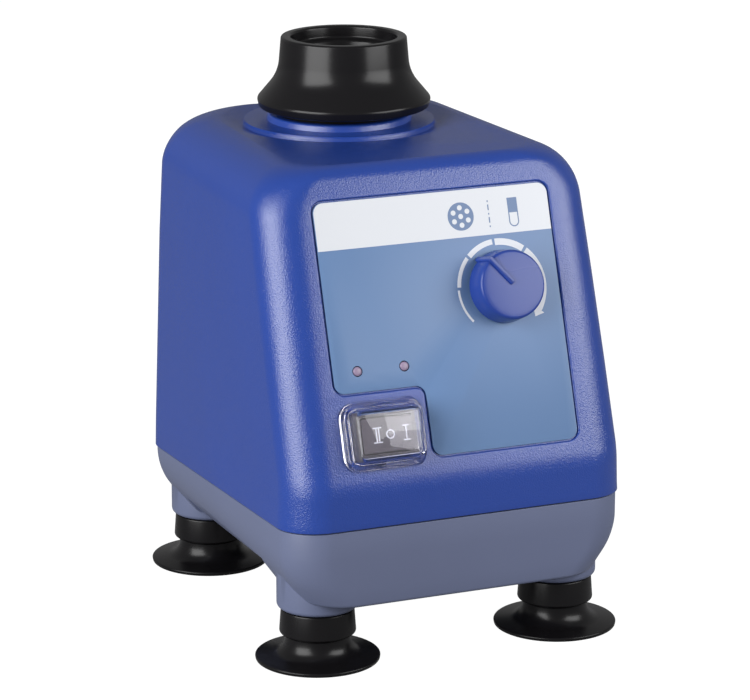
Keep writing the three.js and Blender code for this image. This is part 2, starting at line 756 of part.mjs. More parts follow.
const footPlaces = [
  ['front_left', -frontFootX, frontFootY], ['front_right', frontFootX, frontFootY],
  ['rear_left', -rearFootX, rearFootY], ['rear_right', rearFootX, rearFootY],
];
const pillarPlaces = [
  ['front_left', -isolatorX, driveAxisY - isolatorY], ['front_right', isolatorX, driveAxisY - isolatorY],
  ['rear_left', -isolatorX, driveAxisY + isolatorY], ['rear_right', isolatorX, driveAxisY + isolatorY],
];
const floorMiddle = trayBottomHeight + trayFloor / 2;
const isolatorTop = bracketHeight - bracketThickness - gap;
const isolatorBottom = isolatorTop - isolatorHeight;
const pillarTop = isolatorBottom - gap;
const isolatorScrewTip = bracketHeight + gap - isolatorScrewLength;
const spigotTop = bossBottomHeight + footSpigotLength;

// What stands outside a sloping plane low on one side, so that fingers can reach under it
function gripCut(side) {
  const half = halfWidth - trayStep - rearNarrowing / 2;
  const level = trayBottomHeight + gripHeight;
  const [upper, lower] = [half - trayInset(level), half - trayInset(trayBottomHeight) - gripDepth];
  const slope = (upper - lower) / gripHeight;
  const shape = new THREE.Shape();
  shape.moveTo(upper, level);
  shape.lineTo(lower - slope * overrun, trayBottomHeight - overrun);
  shape.lineTo(halfWidth + overrun, trayBottomHeight - overrun);
  shape.lineTo(halfWidth + overrun, level);
  const depth = gripFrontDistance + gripRearDistance;
  const geometry = new THREE.ExtrudeGeometry(shape, { depth, bevelEnabled: false });
  geometry.applyMatrix4(
    new THREE.Matrix4().set(side, 0, 0, 0, 0, 0, 1, -gripFrontDistance, 0, 1, 0, 0, 0, 0, 0, 1));
  return solid(geometry);
}

function footBoss(x, y) {
  const round = bossEdgeRadius;
  return turned([
    [0, bossBottomHeight], [bossRadius - round, bossBottomHeight],
    [bossRadius - round * (1 - Math.sin(Math.PI / 4)), bossBottomHeight + round * (1 - Math.cos(Math.PI / 4))],
    [bossRadius, bossBottomHeight + round], [bossRadius, bossTopHeight], [0, bossTopHeight],
  ], medium, [x, y]);
}

// Pins with staked heads that hold the ballast plate down
function platePins() {
  const pin = (x) => turned([
    [0, floorMiddle], [platePinRadius, floorMiddle], [platePinRadius, plateTop + gap],
    [platePinHeadRadius, plateTop + gap], [platePinHeadRadius, plateTop + gap + platePinHeadHeight],
    [0, plateTop + gap + platePinHeadHeight],
  ], coarse, [x, platePinY]);
  return join(pin(-platePinX), pin(platePinX));
}

function baseTray() {
  const top = Math.max(partingFrontHeight, partingRearHeight) + overrun;
  const outsideShares = [1, 0.8, 0.6, 0.4, 0.2, 0];
  const insideShares = [1, 0.5, 0];
  const shell = cut(trayForm(trayBottomHeight, top, 0, outsideShares, outsideDetail.cornerSteps),
    gripCut(-1), gripCut(1), trayForm(floorTop, top + overrun, trayWall, insideShares, insideDetail.cornerSteps));
  const bosses = footPlaces.map(([, x, y]) => footBoss(x, y));
  const pillars = pillarPlaces.map(([, x, y]) => rod(pillarRadius, floorMiddle, pillarTop, plain, [x, y]));
  const posts = housingScrewPlaces.map(([, x, y]) => rod(housingPostRadius, floorMiddle, top, plain, [x, y]));
  const whole = join(cut(join(shell, ...posts), aboveParting(-partingGap / 2)), ...bosses, ...pillars, platePins());
  const holes = [];
  for (const [, x, y] of footPlaces) {
    holes.push(rod(footSpigotRadius + gap, 0, spigotTop + gap, plain, [x, y]),
      rod(footScrewRadius + gap, 0, footScrewSeatHeight + footScrewLength + gap, coarse, [x, y]));
  }
  for (const [, x, y] of pillarPlaces) {
    holes.push(rod(isolatorScrewRadius + gap, isolatorScrewTip - gap, pillarTop + gap, coarse, [x, y]));
  }
  for (const [, x, y] of housingScrewPlaces) {
    holes.push(rod(housingScrewRadius + gap, 0, top, coarse, [x, y]),
      rod(housingScrewHeadRadius + gap, 0, housingScrewSeat, coarse, [x, y]));
  }
  return cut(whole, ...holes);
}

// Suction foot around its own upright axis; a screw under it holds it in its boss
function foot() {
  const bore = footScrewRadius + gap;
  const pocket = footScrewHeadRadius + gap;
  const stemTop = bossBottomHeight - gap;
  const skirt = footBrimRadius - footNeckRadius;
  const upperShares = [[0.03, 0.68], [0.18, 0.48], [0.5, 0.29], [0.96, 0.15]];
  const underShares = [[0.5, 0.13], [0, 0.36]];
  const outline = ([out, up]) => [footNeckRadius + out * skirt, up * footStepHeight];
  return turned([
    [bore, spigotTop], [footSpigotRadius, spigotTop], [footSpigotRadius, stemTop], [footStemTopRadius, stemTop],
    [footStemRadius, footStepHeight], [footNeckRadius, footStepHeight - footBrimThickness / 2],
    ...upperShares.map(outline), [footBrimRadius, footBrimThickness], [footContactRadius + footBrimThickness, 0],
    [footContactRadius, 0], ...underShares.map(outline), [pocket, footStepHeight / 2],
    [pocket, footScrewSeatHeight], [bore, footScrewSeatHeight], [bore, spigotTop],
  ], medium);
}

const footScrew = () => screw(footScrewRadius, footScrewHeadRadius, footScrewHeadHeight, footScrewLength,
  footScrewSeatHeight - gap, 1);

const housingScrew = () => screw(housingScrewRadius, housingScrewHeadRadius, housingScrewHeadHeight,
  housingScrewLength, housingScrewSeat - gap, 1);

// Ballast and the motor's mounting

function ballastPlate() {
  const bottom = floorTop + gap;
  const middle = (plateFront + plateRear) / 2;
  const pinHole = (x) => rod(platePinRadius + gap, bottom - overrun, plateTop + overrun, coarse, [x, platePinY]);
  return cut(block(0, middle, 2 * plateHalfWidth, plateRear - plateFront, bottom, plateTop),
    pinHole(-platePinX), pinHole(platePinX));
}

const isolator = () => sleeve(isolatorScrewRadius + gap, isolatorRadius, isolatorBottom, isolatorTop, plain);

const isolatorScrew = () => screw(isolatorScrewRadius, isolatorScrewHeadRadius, isolatorScrewHeadHeight,
  isolatorScrewLength, bracketHeight + gap, -1);

const canScrewPlaces = [['left', -canScrewX], ['right', canScrewX]];

function motorBracket() {
  const bottom = bracketHeight - bracketThickness;
  const hole = (radius, place) => rod(radius + gap, bottom - overrun, bracketHeight + overrun, coarse, place);
  return cut(block(0, driveAxisY, bracketWidth, bracketDepth, bottom, bracketHeight),
    rod(bracketBoreRadius, bottom - overrun, bracketHeight + overrun, plain, driveAxis),
    ...pillarPlaces.map(([, x, y]) => hole(isolatorScrewRadius, [x, y])),
    ...canScrewPlaces.map(([, x]) => hole(canScrewRadius, [x, driveAxisY])));
}

const lipBore = bearingSeat - bearingLip;
const shaftBore = shaftRadius + gap;

const canScrew = () => screw(canScrewRadius, canScrewHeadRadius, canScrewHeadHeight,
  canFloor - isolatorTop - gap, isolatorTop, 1);

function motorCan() {
  const inside = motorRadius - motorCanWall;
  const can = turned([
    [lipBore, canBottom], [motorRadius, canBottom], [motorRadius, motorCanTop], [inside, motorCanTop],
    [inside, canFloor],
    [motorHubRadius, canFloor], [motorHubRadius, hubTop], [bearingSeat, hubTop], [bearingSeat, canFloor],
    [lipBore, canFloor], [lipBore, canBottom],
  ], fine);
  return cut(can, ...canScrewPlaces.map(([, x]) => rod(canScrewRadius + gap, 0, canFloor + gap, coarse, [x, 0])));
}

function motorEndCap() {
  const [lip, rim] = [capBottom + bearingHeight + gap, capBottom + motorCapThickness];
  return turned([
    [bearingSeat, capBottom], [motorRadius, capBottom], [motorRadius, rim], [motorHubRadius, rim],
    [motorHubRadius, motorTop], [lipBore, motorTop], [lipBore, lip], [bearingSeat, lip], [bearingSeat, capBottom],
  ], fine);
}

const stator = () => sleeve(statorBoreRadius, motorRadius - motorCanWall - gap, statorBottom, statorTop, fine);
const rotorCore = () => sleeve(shaftBore, rotorRadius, statorBottom, statorTop);
const bearing = (bore, bottom) => sleeve(bore, bearingRadius, bottom, bottom + bearingHeight, medium);

// Touch switch under the shaft

const buttonTop = microTop + microButtonRise;
const flangeBottom = plungerFlangeTop - plungerFlangeHeight;
const shaftFoot = bracketHeight + shaftFootDistance;

function microswitch() {
  const slotBottom = buttonTop - microButtonLength - pressTravel - gap;
  return cut(block(0, 0, microWidth, microDepth, microBottom, microTop),
    block(0, 0, microButtonWidth + 2 * gap, microButtonDepth + 2 * gap, slotBottom, microTop + overrun));
}

const microButton = () => block(0, 0, microButtonWidth, microButtonDepth, buttonTop - microButtonLength, buttonTop);

function switchBracket() {
  const inner = switchBracketTop - switchBracketThickness;
  return cut(block(0, 0, switchBracketWidth, switchBracketDepth, microBottom, switchBracketTop),
    block(0, 0, switchBracketWidth - 2 * switchBracketThickness, switchBracketDepth + overrun,
      microBottom - overrun, inner),
    rod(plungerRadius + gap, inner - overrun, switchBracketTop + overrun));
}

const thrustPlunger = () => turned([
  [0, buttonTop + gap], [plungerRadius, buttonTop + gap], [plungerRadius, flangeBottom],
  [plungerFlangeRadius, flangeBottom], [plungerFlangeRadius, plungerFlangeTop], [plungerRadius, plungerFlangeTop],
  [plungerRadius, shaftFoot - gap], [0, shaftFoot - gap],
], plain);

const touchSpring = () => sleeve(springRadius - springWire, springRadius, switchBracketTop + gap,
  flangeBottom - gap, plain);

// What turns with the shaft

function counterweight() {
  const half = new THREE.Shape();
  half.absarc(0, 0, weightRadius, Math.PI / 2, 3 * Math.PI / 2);
  half.closePath();
  const disc = slab(half, weightBottomHeight, weightTop, plain);
  return cut(join(disc, rod(weightHubRadius, weightBottomHeight, weightTop, medium)),
    rod(shaftBore, weightBottomHeight - overrun, weightTop + overrun));
}

const camScrewStart = camScrewInset - camRadius;

function rodAlongX(radius, start, end, height) {
  const geometry = new THREE.CylinderGeometry(radius, radius, end - start, coarse);
  geometry.rotateZ(Math.PI / 2);
  geometry.translate((start + end) / 2, 0, height);
  return solid(geometry);
}

function eccentricCam() {
  const pin = turned([
    [0, camTopHeight - gap], [camShoulderRadius, camTopHeight - gap], [camShoulderRadius, camShoulderTop],
    [camPinRadius, camShoulderTop], [camPinRadius, camPinTop], [0, camPinTop],
  ], medium, [orbitRadius, 0]);
  return cut(join(rod(camRadius, camBottom, camTopHeight, medium), pin),
    rod(shaftBore, camBottom - overrun, shaftTopHeight + gap),
    rodAlongX(camScrewRadius + gap, -camRadius - overrun, 0, camScrewHeight));
}

const camSetScrew = () => rodAlongX(camScrewRadius, camScrewStart, -shaftBore, camScrewHeight);

// Cup head, its holder and the bearing on the cam's pin

const socketRadius = holderRadius + gap;

const headHolder = () => turned([
  [0, headBearingBottom + bearingHeight + gap], [bearingSeat, headBearingBottom + bearingHeight + gap],
  [bearingSeat, headBearingBottom], [holderRadius, headBearingBottom], [holderRadius, socketTop - gap],
  [0, socketTop - gap],
], fine);

function cupHead() {
  const flareShares = [
    [0, 0.05], [0.06, 0.09], [0.16, 0.48], [0.27, 0.59], [0.45, 0.715], [0.65, 0.81], [0.87, 0.885], [1, 0.98],
  ];
  const lipShares = [[0.93, 0.3], [0.55, 0.72], [0, 1]];
  const bowlShares = [[1, 0.08], [0.985, 0.38], [0.89, 0.5], [0.8, 0.81], [0.5, 0.96], [0, 1]];
  const flare = flareShares.map(([out, down]) =>
    [cupRimRadius + out * (cupFlareRadius - cupRimRadius), cupRimHeight - down * cupFlareDrop]);
  const lip = lipShares.map(([out, down]) => [cupBottomRadius + out * (cupFlareRadius - cupBottomRadius),
    cupRimHeight - cupFlareDrop - down * cupLipHeight]);
  const bowl = bowlShares.map(([out, down]) => [out * cupBoreRadius, cupRimHeight - down * cupBoreDepth]);
  return turned([
    [0, socketTop], [socketRadius, socketTop], [socketRadius, hubBottom], [cupRecessRadius, hubBottom],
    [cupRecessRadius, cupBottom], ...lip.reverse(), ...flare.reverse(), [cupRimRadius - cupRimEdge, cupRimHeight],
    [cupBoreRadius + cupRimEdge, cupRimHeight], ...bowl,
  ], finest);
}

function dustBoot() {
  const radius = bootSeatRadius - gap;
  return turned([
    [bootBoreRadius, bootSeatHeight + gap], [radius, bootSeatHeight + gap], [radius, bootTopHeight - bootEdge],
    [radius - bootEdge, bootTopHeight], [bootBoreRadius, bootTopHeight], [bootBoreRadius, bootSeatHeight + gap],
  ], fine);
}

// Label on the slanted face, with a notch for the switch low on its left

function labelShape(grow) {
  const [outer, inner] = [labelCornerRadius + grow, labelCornerRadius - grow];
  const [left, right] = [-labelHalfWidth - grow, labelHalfWidth + grow];
  const [bottom, top] = [labelBottom - grow, labelTop + grow];
  const [notchX, notchV] = [notchRight - grow, notchTop - grow];
  const shape = new THREE.Shape();
  shape.moveTo(notchX + outer, bottom);
  shape.absarc(right - outer, bottom + outer, outer, -Math.PI / 2, 0);
  shape.absarc(right - outer, top - outer, outer, 0, Math.PI / 2);
  shape.absarc(left + outer, top - outer, outer, Math.PI / 2, Math.PI);
  shape.absarc(left + outer, notchV + outer, outer, Math.PI, 3 * Math.PI / 2);
  shape.absarc(notchX - inner, notchV - inner, inner, Math.PI / 2, 0, true);
  shape.absarc(notchX + outer, bottom + outer, outer, Math.PI, 3 * Math.PI / 2);
  return shape;
}

function panelLabel() {
  const hole = (x, v, radius, sides) => faceRod(x, v, radius + gap, -overrun, overrun, sides);
  return cut(slab(labelShape(0), -labelThickness, 0), hole(knobX, knobV, potBushRadius, medium),
    hole(lampOuterX, lampV, lampRadius, coarse), hole(lampInnerX, lampV, lampRadius, coarse));
}

const indicatorLens = () => turned([
  [0, -lampLength], [lampRadius, -lampLength], [lampRadius, 0], [lampRadius * Math.cos(Math.PI / 4), lampDome / 2],
  [0, lampDome],
], coarse);

// Rocker switch, drawn around its own middle

const pocketFloor = rockerAxisHeight - rockerHubRadius - gap;

function switchBody() {
  const backEnd = -switchBodyDepth;
  const bezel = slab(roundedRectangle(0, 0, bezelWidth, bezelLength, bezelCornerRadius), gap, gap + bezelHeight);
  const back = block(0, 0, switchBodyWidth, switchBodyLength, backEnd, gap + bezelHeight / 2);
  const terminal = (x) => block(x, 0, terminalWidth, terminalLength, backEnd - terminalReach, backEnd + gap);
  return cut(join(bezel, back, terminal(-terminalPitch), terminal(0), terminal(terminalPitch)),
    block(0, 0, pocketWidth, pocketLength, pocketFloor, gap + bezelHeight + overrun));
}

function switchRocker() {
  const half = rockerWidth / 2;
  const skirt = -rockerSkirt;
  const hubHalf = Math.sqrt(rockerHubRadius ** 2 - rockerSkirt ** 2);
  const start = Math.atan2(skirt, -hubHalf);
  const end = Math.atan2(skirt, hubHalf);
  const crownShares = [1, 0.75, 0.5, 0.25, 0, -0.25, -0.5, -0.75, -1];
  const shape = new THREE.Shape();
  shape.moveTo(-half, skirt);
  shape.lineTo(-hubHalf, skirt);
  shape.absarc(0, 0, rockerHubRadius, start, end);
  shape.lineTo(half, skirt);
  for (const share of crownShares) shape.lineTo(share * half, rockerRise - rockerFall * share ** 2);
  const length = pocketLength - 2 * gap;
  const geometry = new THREE.ExtrudeGeometry(shape, { depth: length, bevelEnabled: false, curveSegments: 4 });
  geometry.rotateX(Math.PI / 2);
  geometry.translate(0, length / 2, 0);
  return solid(geometry);
}

// Clear cover around the bezel: a flange and a dome, hollow from below
function switchCover() {
  const ring = (height, halfAcross, halfAlong, radius) =>
    levelRing(height, -halfAlong, halfAlong, halfAcross, halfAcross, radius, 4);
  const [across, along] = [coverWidth / 2, coverLength / 2];
  const [domeAcross, domeAlong] = [coverDomeWidth / 2, coverDomeLength / 2];
  const [topAcross, topAlong] = [domeAcross - coverDomeTaper, domeAlong - coverDomeTaper];
  const flangeTop = gap + coverFlangeHeight;
  const domeRadius = coverCornerRadius - coverTopRadius / 2;
  const edge = coverTopRadius;
  const outer = loft([
    ring(gap, across, along, coverCornerRadius), ring(flangeTop - edge / 2, across, along, coverCornerRadius),
    ring(flangeTop, across - edge / 2, along - edge / 2, coverCornerRadius - edge / 2),
    ring(flangeTop + gap, domeAcross, domeAlong, domeRadius),
    ring(coverHeight - edge, topAcross, topAlong, domeRadius),
    ring(coverHeight - edge * (1 - Math.sin(Math.PI / 4)), topAcross - edge * (1 - Math.cos(Math.PI / 4)),
      topAlong - edge * (1 - Math.cos(Math.PI / 4)), domeRadius - edge / 4),
    ring(coverHeight, topAcross - edge, topAlong - edge, domeRadius - edge / 2),
  ]);
  const [innerAcross, innerAlong] = [topAcross - coverWall, topAlong - coverWall];
  const innerTop = coverHeight - coverWall;
  const hollow = loft([
    ring(gap - overrun, bezelWidth / 2 + gap, bezelLength / 2 + gap, bezelCornerRadius),
    ring(gap + bezelHeight, bezelWidth / 2 + gap, bezelLength / 2 + gap, bezelCornerRadius),
    ring(innerTop - coverWall / 2, innerAcross, innerAlong, bezelCornerRadius),
    ring(innerTop, innerAcross - coverWall / 2, innerAlong - coverWall / 2, bezelCornerRadius),
  ]);
  return cut(outer, hollow);
}

// Speed knob around its own axis, with a raised pointer across its face and down its side
function speedKnob() {
  const recessTop = knobStandOff + knobRecessDepth;
  const bore = potShaftRadius + gap;
  const boreTop = knobHeight - knobBoreEnd;
  const round = knobEdgeRadius * (1 - Math.cos(Math.PI / 4));
  const cap = turned([
    [0, boreTop], [bore, boreTop], [bore, recessTop], [knobRecessRadius, recessTop],
    [knobRecessRadius, knobStandOff], [knobRadius, knobStandOff], [knobFaceRadius, knobHeight - knobEdgeRadius],
    [knobFaceRadius - round, knobHeight - round], [knobFaceRadius - knobEdgeRadius, knobHeight], [0, knobHeight],
  ], fine);
  const reach = knobRadius + pointerReach;
  const ridge = block(reach / 2, 0, reach, pointerWidth, knobStandOff, knobHeight + pointerRise);
  const keepOut = rod(knobRecessRadius, 0, recessTop, fine);
  const boreClear = rod(bore, 0, boreTop, plain);
  const turn = new THREE.Matrix4().makeRotationZ(pointerAngle);
  const pointer = solid(geometryOf(cut(ridge, keepOut, boreClear)).applyMatrix4(turn));
  return join(cap, pointer);
}

const potFront = -wall - gap;
const potEnd = potFront - potDepth;
const potShaftTop = knobHeight - knobBoreEnd - gap;

function potentiometerBody() {
  const bore = potShaftRadius + gap;
  return cut(join(rod(potRadius, potEnd, potFront, medium), rod(potBushRadius, potEnd, potBushReach, medium)),
    rod(bore, potEnd + gap, potBushReach + overrun, plain));
}

const potentiometerShaft = () => rod(potShaftRadius, potEnd + 2 * gap, potShaftTop, plain);

function potentiometerNut() {
  const radius = potNutAcross / 2 / Math.cos(Math.PI / 6);
  return cut(rod(radius, gap, gap + potNutHeight, 6),
    rod(potBushRadius + gap, -overrun, potNutHeight + overrun, medium));
}

// Board behind the slanted face, with the potentiometer's header and the two lamps
function circuitBoard() {
  const front = -boardDepth;
  const middle = (boardBottom + boardTop) / 2;
  const sheet = block(0, middle, boardWidth, boardTop - boardBottom, front - boardThickness, front);
  const header = block(knobX, knobV, boardHeaderWidth, boardHeaderLength, front - gap, potEnd - gap);
  const lamp = (x) => faceRod(x, lampV, lampRadius, front - gap, -lampLength - gap, coarse);
  const hole = (x) => faceRod(x, boardScrewV, boardScrewRadius + gap, front - overrun, front + gap, coarse);
  return cut(join(sheet, header, lamp(lampOuterX), lamp(lampInnerX)), hole(-boardScrewX), hole(boardScrewX));
}

const boardScrew = () => screw(boardScrewRadius, boardScrewHeadRadius, boardScrewHeadHeight, boardScrewLength,
  -boardDepth - boardThickness - gap, 1);

// Block across the rear wall, from how far it starts and ends behind the rear face
function rearBlock(width, tall, start, end, x = 0, height = inletHeight) {
  return block(x, halfDepth + (start + end) / 2, width, end - start, height - tall / 2, height + tall / 2);
}

function powerInlet() {
  const outside = gap + inletFlangeThickness;
  const floor = outside - inletPocketDepth;
  const pin = (x, rise) => rearBlock(inletPinWidth, inletPinTall, floor - gap, floor + inletPinLength, x,
    inletHeight + rise);
  const shell = join(rearBlock(inletFlangeWidth, inletFlangeTall, gap, outside),
    rearBlock(inletWidth, inletTall, -inletDepth, gap + inletFlangeThickness / 2));
  const hollow = cut(shell, rearBlock(inletPocketWidth, inletPocketTall, floor, outside + overrun));
  return join(hollow, pin(-inletPinPitch, -inletPinDrop), pin(inletPinPitch, -inletPinDrop), pin(0, inletEarthRise));
}

// Assembly

function part(name, body, material, place = [0, 0, 0]) {
  const mesh = new THREE.Mesh(geometryOf(body), material);
  mesh.name = name;
  mesh.position.set(...place);
  return mesh;
}

function partsAt(places, prefix, body, material) {
  return places.map(([name, x, y]) => part(`${prefix}_${name}`, body, material, [x, y, 0]));
}

const onAxis = [...driveAxis, 0];
const onOrbit = [...orbitAxis, 0];
const assembly = new THREE.Group();

assembly.add(
  part('upper_housing', upperHousing(), materials.housing),
  part('base_tray', baseTray(), materials.tray),
  part('power_inlet', powerInlet(), materials.black),
  ...partsAt(footPlaces, 'foot', foot(), materials.rubber),
  ...partsAt(footPlaces, 'foot_screw', footScrew(), materials.steel),
  ...partsAt(housingScrewPlaces, 'housing_screw', housingScrew(), materials.steel),
);

assembly.add(
  part('ballast_plate', ballastPlate(), materials.iron),
  ...partsAt(pillarPlaces, 'motor_isolator', isolator(), materials.rubber),
  ...partsAt(pillarPlaces, 'isolator_screw', isolatorScrew(), materials.steel),
  part('motor_bracket', motorBracket(), materials.steel),
  ...canScrewPlaces.map(([name, x]) =>
    part(`can_screw_${name}`, canScrew(), materials.steel, [x, driveAxisY, 0])),
  part('motor_can', motorCan(), materials.steel, onAxis),
  part('motor_end_cap', motorEndCap(), materials.steel, onAxis),
  part('motor_stator', stator(), materials.iron, onAxis),
  part('lower_bearing', bearing(shaftBore, lowerBearingBottom), materials.steel, onAxis),
  part('upper_bearing', bearing(shaftBore, capBottom), materials.steel, onAxis),
  part('touch_microswitch', microswitch(), materials.black, onAxis),
  part('microswitch_button', microButton(), materials.lamp, onAxis),
  part('switch_bracket', switchBracket(), materials.steel, onAxis),
  part('touch_spring', touchSpring(), materials.steel, onAxis),
  part('thrust_plunger', thrustPlunger(), materials.brass, onAxis),
);

assembly.add(
  part('rotor_core', rotorCore(), materials.iron, onAxis),
  part('rotor_shaft', rod(shaftRadius, shaftFoot, shaftTopHeight), materials.steel, onAxis),
  part('counterweight', counterweight(), materials.brass, onAxis),
  part('eccentric_cam', eccentricCam(), materials.steel, onAxis),
  part('cam_set_screw', camSetScrew(), materials.steel, onAxis),
  part('head_bearing', bearing(camPinRadius + gap, headBearingBottom), materials.steel, onOrbit),
  part('head_holder', headHolder(), materials.black, onOrbit),
  part('cup_head', cupHead(), materials.rubber, onOrbit),
  part('dust_boot', dustBoot(), materials.rubber, onAxis),
);

face.add(
  part('panel_label', panelLabel(), materials.label),
  part('indicator_lens_left', indicatorLens(), materials.lamp, [lampOuterX, lampV, 0]),
  part('indicator_lens_right', indicatorLens(), materials.lamp, [lampInnerX, lampV, 0]),
  part('switch_body', switchBody(), materials.black, [switchX, switchV, 0]),
  part('switch_rocker', switchRocker(), materials.rocker, [switchX, switchV, rockerAxisHeight]),
  part('switch_cover', switchCover(), materials.clear, [switchX, switchV, 0]),
  part('speed_knob', speedKnob(), materials.housing, [knobX, knobV, 0]),
  part('potentiometer_shaft', potentiometerShaft(), materials.steel, [knobX, knobV, 0]),
  part('potentiometer_body', potentiometerBody(), materials.steel, [knobX, knobV, 0]),
  part('potentiometer_nut', potentiometerNut(), materials.steel, [knobX, knobV, 0]),
  part('circuit_board', circuitBoard(), materials.board),
  ...boardScrewPlaces.map(([name, x]) =>
    part(`board_screw_${name}`, boardScrew(), materials.steel, [x, boardScrewV, 0])),
);
assembly.add(face);

// The origin goes under the middle of the whole object
const bounds = new THREE.Box3().setFromObject(assembly, true);
assembly.position.y = -(bounds.min.y + bounds.max.y) / 2;

const mixer = new THREE.Group();
mixer.add(assembly);

export default mixer;
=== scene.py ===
# %% [markdown]
# # A mini vortex mixer
#
# A blue moulded housing sits on a grey tray with four suction feet. A black rubber cup on top is
# swung in a small circle by a motor inside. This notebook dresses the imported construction: it
# makes fine meshes for everything that shows, gives each finish its own material, and lights the
# object softly on a white ground. All sizes are in millimetres and are turned into metres once.

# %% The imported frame
import json
import math
import bmesh
import bpy
from mathutils import Matrix, Vector


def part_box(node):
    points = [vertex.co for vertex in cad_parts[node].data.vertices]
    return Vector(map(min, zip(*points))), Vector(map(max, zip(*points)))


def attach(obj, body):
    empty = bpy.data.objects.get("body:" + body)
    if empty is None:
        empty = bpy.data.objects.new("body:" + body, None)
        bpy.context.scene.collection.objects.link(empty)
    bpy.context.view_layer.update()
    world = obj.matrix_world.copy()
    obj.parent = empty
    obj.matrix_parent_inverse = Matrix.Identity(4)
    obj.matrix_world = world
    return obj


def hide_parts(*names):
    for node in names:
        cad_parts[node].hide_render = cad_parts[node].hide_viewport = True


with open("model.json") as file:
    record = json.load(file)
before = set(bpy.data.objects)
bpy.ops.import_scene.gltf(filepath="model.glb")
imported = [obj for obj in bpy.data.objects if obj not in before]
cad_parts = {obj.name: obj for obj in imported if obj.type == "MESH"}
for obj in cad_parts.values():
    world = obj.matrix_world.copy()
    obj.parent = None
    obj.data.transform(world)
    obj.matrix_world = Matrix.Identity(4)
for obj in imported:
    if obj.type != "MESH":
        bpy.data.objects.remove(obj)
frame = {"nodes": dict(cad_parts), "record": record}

scene = bpy.context.scene
nodes = frame["nodes"]
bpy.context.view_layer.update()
mm = 0.001

# %% [markdown]
# ## Where things are
#
# The housing's own middle is a little in front of the object's middle, because the rear feet
# stand out behind. The shaft tells where it is: its axis lies a known distance behind the
# housing's middle. The slanted front has a frame of its own, in which x runs to the right, v up
# the slope and h straight out of the face, so everything on the panel can be placed flat.

# %% Frames for the object, the shaft, the cup and the slanted front
HALF_DEPTH, KNEE_HEIGHT = 73.2, 62.6
LEAN = math.radians(18.45)
DRIVE_Y = 31.3
ORBIT = 1.75

shaft_low, shaft_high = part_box("rotor_core")
shift = (shaft_low.y + shaft_high.y) / 2 / mm - DRIVE_Y
to_metres = Matrix.Scale(mm, 4)
upright = to_metres @ Matrix.Translation((0, shift, 0))
drive = upright @ Matrix.Translation((0, DRIVE_Y, 0))
orbit = drive @ Matrix.Translation((ORBIT, 0, 0))
slant = (upright @ Matrix.Translation((0, -HALF_DEPTH, KNEE_HEIGHT))
         @ Matrix.Rotation(math.pi / 2 - LEAN, 4, "X"))
print("the housing's middle is at y =", round(shift, 3), "mm")

# %% [markdown]
# ## Camera
#
# The photograph was taken from the front left and a little above, with a long lens. Turn, pitch,
# distance and lens come from fitting the object's edges, so the camera is set down as found.

# %% Camera
CAMERA_TURN, CAMERA_PITCH = math.radians(23.38), math.radians(15.27)
CAMERA_DISTANCE = 1244.94
CAMERA_AIM_X, CAMERA_AIM_Z = -0.26, 86.22
CAMERA_LENS, SENSOR_WIDTH = 177.14, 36.0

back = Vector((
    -math.sin(CAMERA_TURN) * math.cos(CAMERA_PITCH),
    -math.cos(CAMERA_TURN) * math.cos(CAMERA_PITCH),
    math.sin(CAMERA_PITCH),
))
right = Vector((math.cos(CAMERA_TURN), -math.sin(CAMERA_TURN), 0))
camera = bpy.data.objects.new("camera", bpy.data.cameras.new("camera"))
camera.data.sensor_fit = "HORIZONTAL"
camera.data.sensor_width = SENSOR_WIDTH
camera.data.lens = CAMERA_LENS
camera.data.clip_start, camera.data.clip_end = 0.05, 20
turned_to = Matrix((right, back.cross(right), back)).transposed().to_4x4()
aim = Vector((0, shift, CAMERA_AIM_Z)) + right * CAMERA_AIM_X
camera.matrix_world = Matrix.Translation((aim + back * CAMERA_DISTANCE) * mm) @ turned_to
scene.collection.objects.link(camera)
scene.camera = camera
print("camera at", [round(c, 3) for c in camera.matrix_world.translation])

# %% [markdown]
# ## Light and ground
#
# Product pictures like this are lit by large soft boxes against white paper. The world gives
# an even fill. It looks white to the camera and through clear plastic, but gloss sees it much
# dimmer, because a white world would lay a pale veil over the dark blue. The floor takes a faint
# shadow, and it is clear from below, so the underside can be looked at too.

# %% What the camera and reflections see
FILL = 0.16
GLOSS_SHARE = 0.12


def shown_ray(tree):
    """1 for rays of the camera and through glass, and only a little for rays off gloss."""
    path = tree.nodes.new("ShaderNodeLightPath")
    dimmed = tree.nodes.new("ShaderNodeMath")
    dimmed.operation = "MULTIPLY"
    dimmed.inputs[1].default_value = GLOSS_SHARE
    tree.links.new(path.outputs["Is Glossy Ray"], dimmed.inputs[0])
    shown = path.outputs["Is Camera Ray"]
    for kind in (dimmed.outputs[0], path.outputs["Is Transmission Ray"]):
        either = tree.nodes.new("ShaderNodeMath")
        either.operation = "MAXIMUM"
        tree.links.new(shown, either.inputs[0])
        tree.links.new(kind, either.inputs[1])
        shown = either.outputs[0]
    return shown


def white_ground():
    """The world: an even fill, and white wherever the camera looks at it."""
    world = bpy.data.worlds.new("studio")
    world.use_nodes = True
    scene.world = world
    tree = world.node_tree
    level = tree.nodes.new("ShaderNodeMapRange")
    level.inputs["To Min"].default_value = FILL
    level.inputs["To Max"].default_value = 1.0
    tree.links.new(shown_ray(tree), level.inputs["Value"])
    background = tree.nodes["Background"]
    background.inputs["Color"].default_value = (1, 1, 1, 1)
    tree.links.new(level.outputs["Result"], background.inputs["Strength"])


white_ground()
scene.view_settings.view_transform = "Standard"
print("the world fills at", FILL, "and gloss sees", GLOSS_SHARE, "of its white")

# %% The paper floor
FLOOR_REACH = 6
FLOOR_GREY, FLOOR_GLOW = 0.22, 2.0
SHADOW_SHARE = 0.5


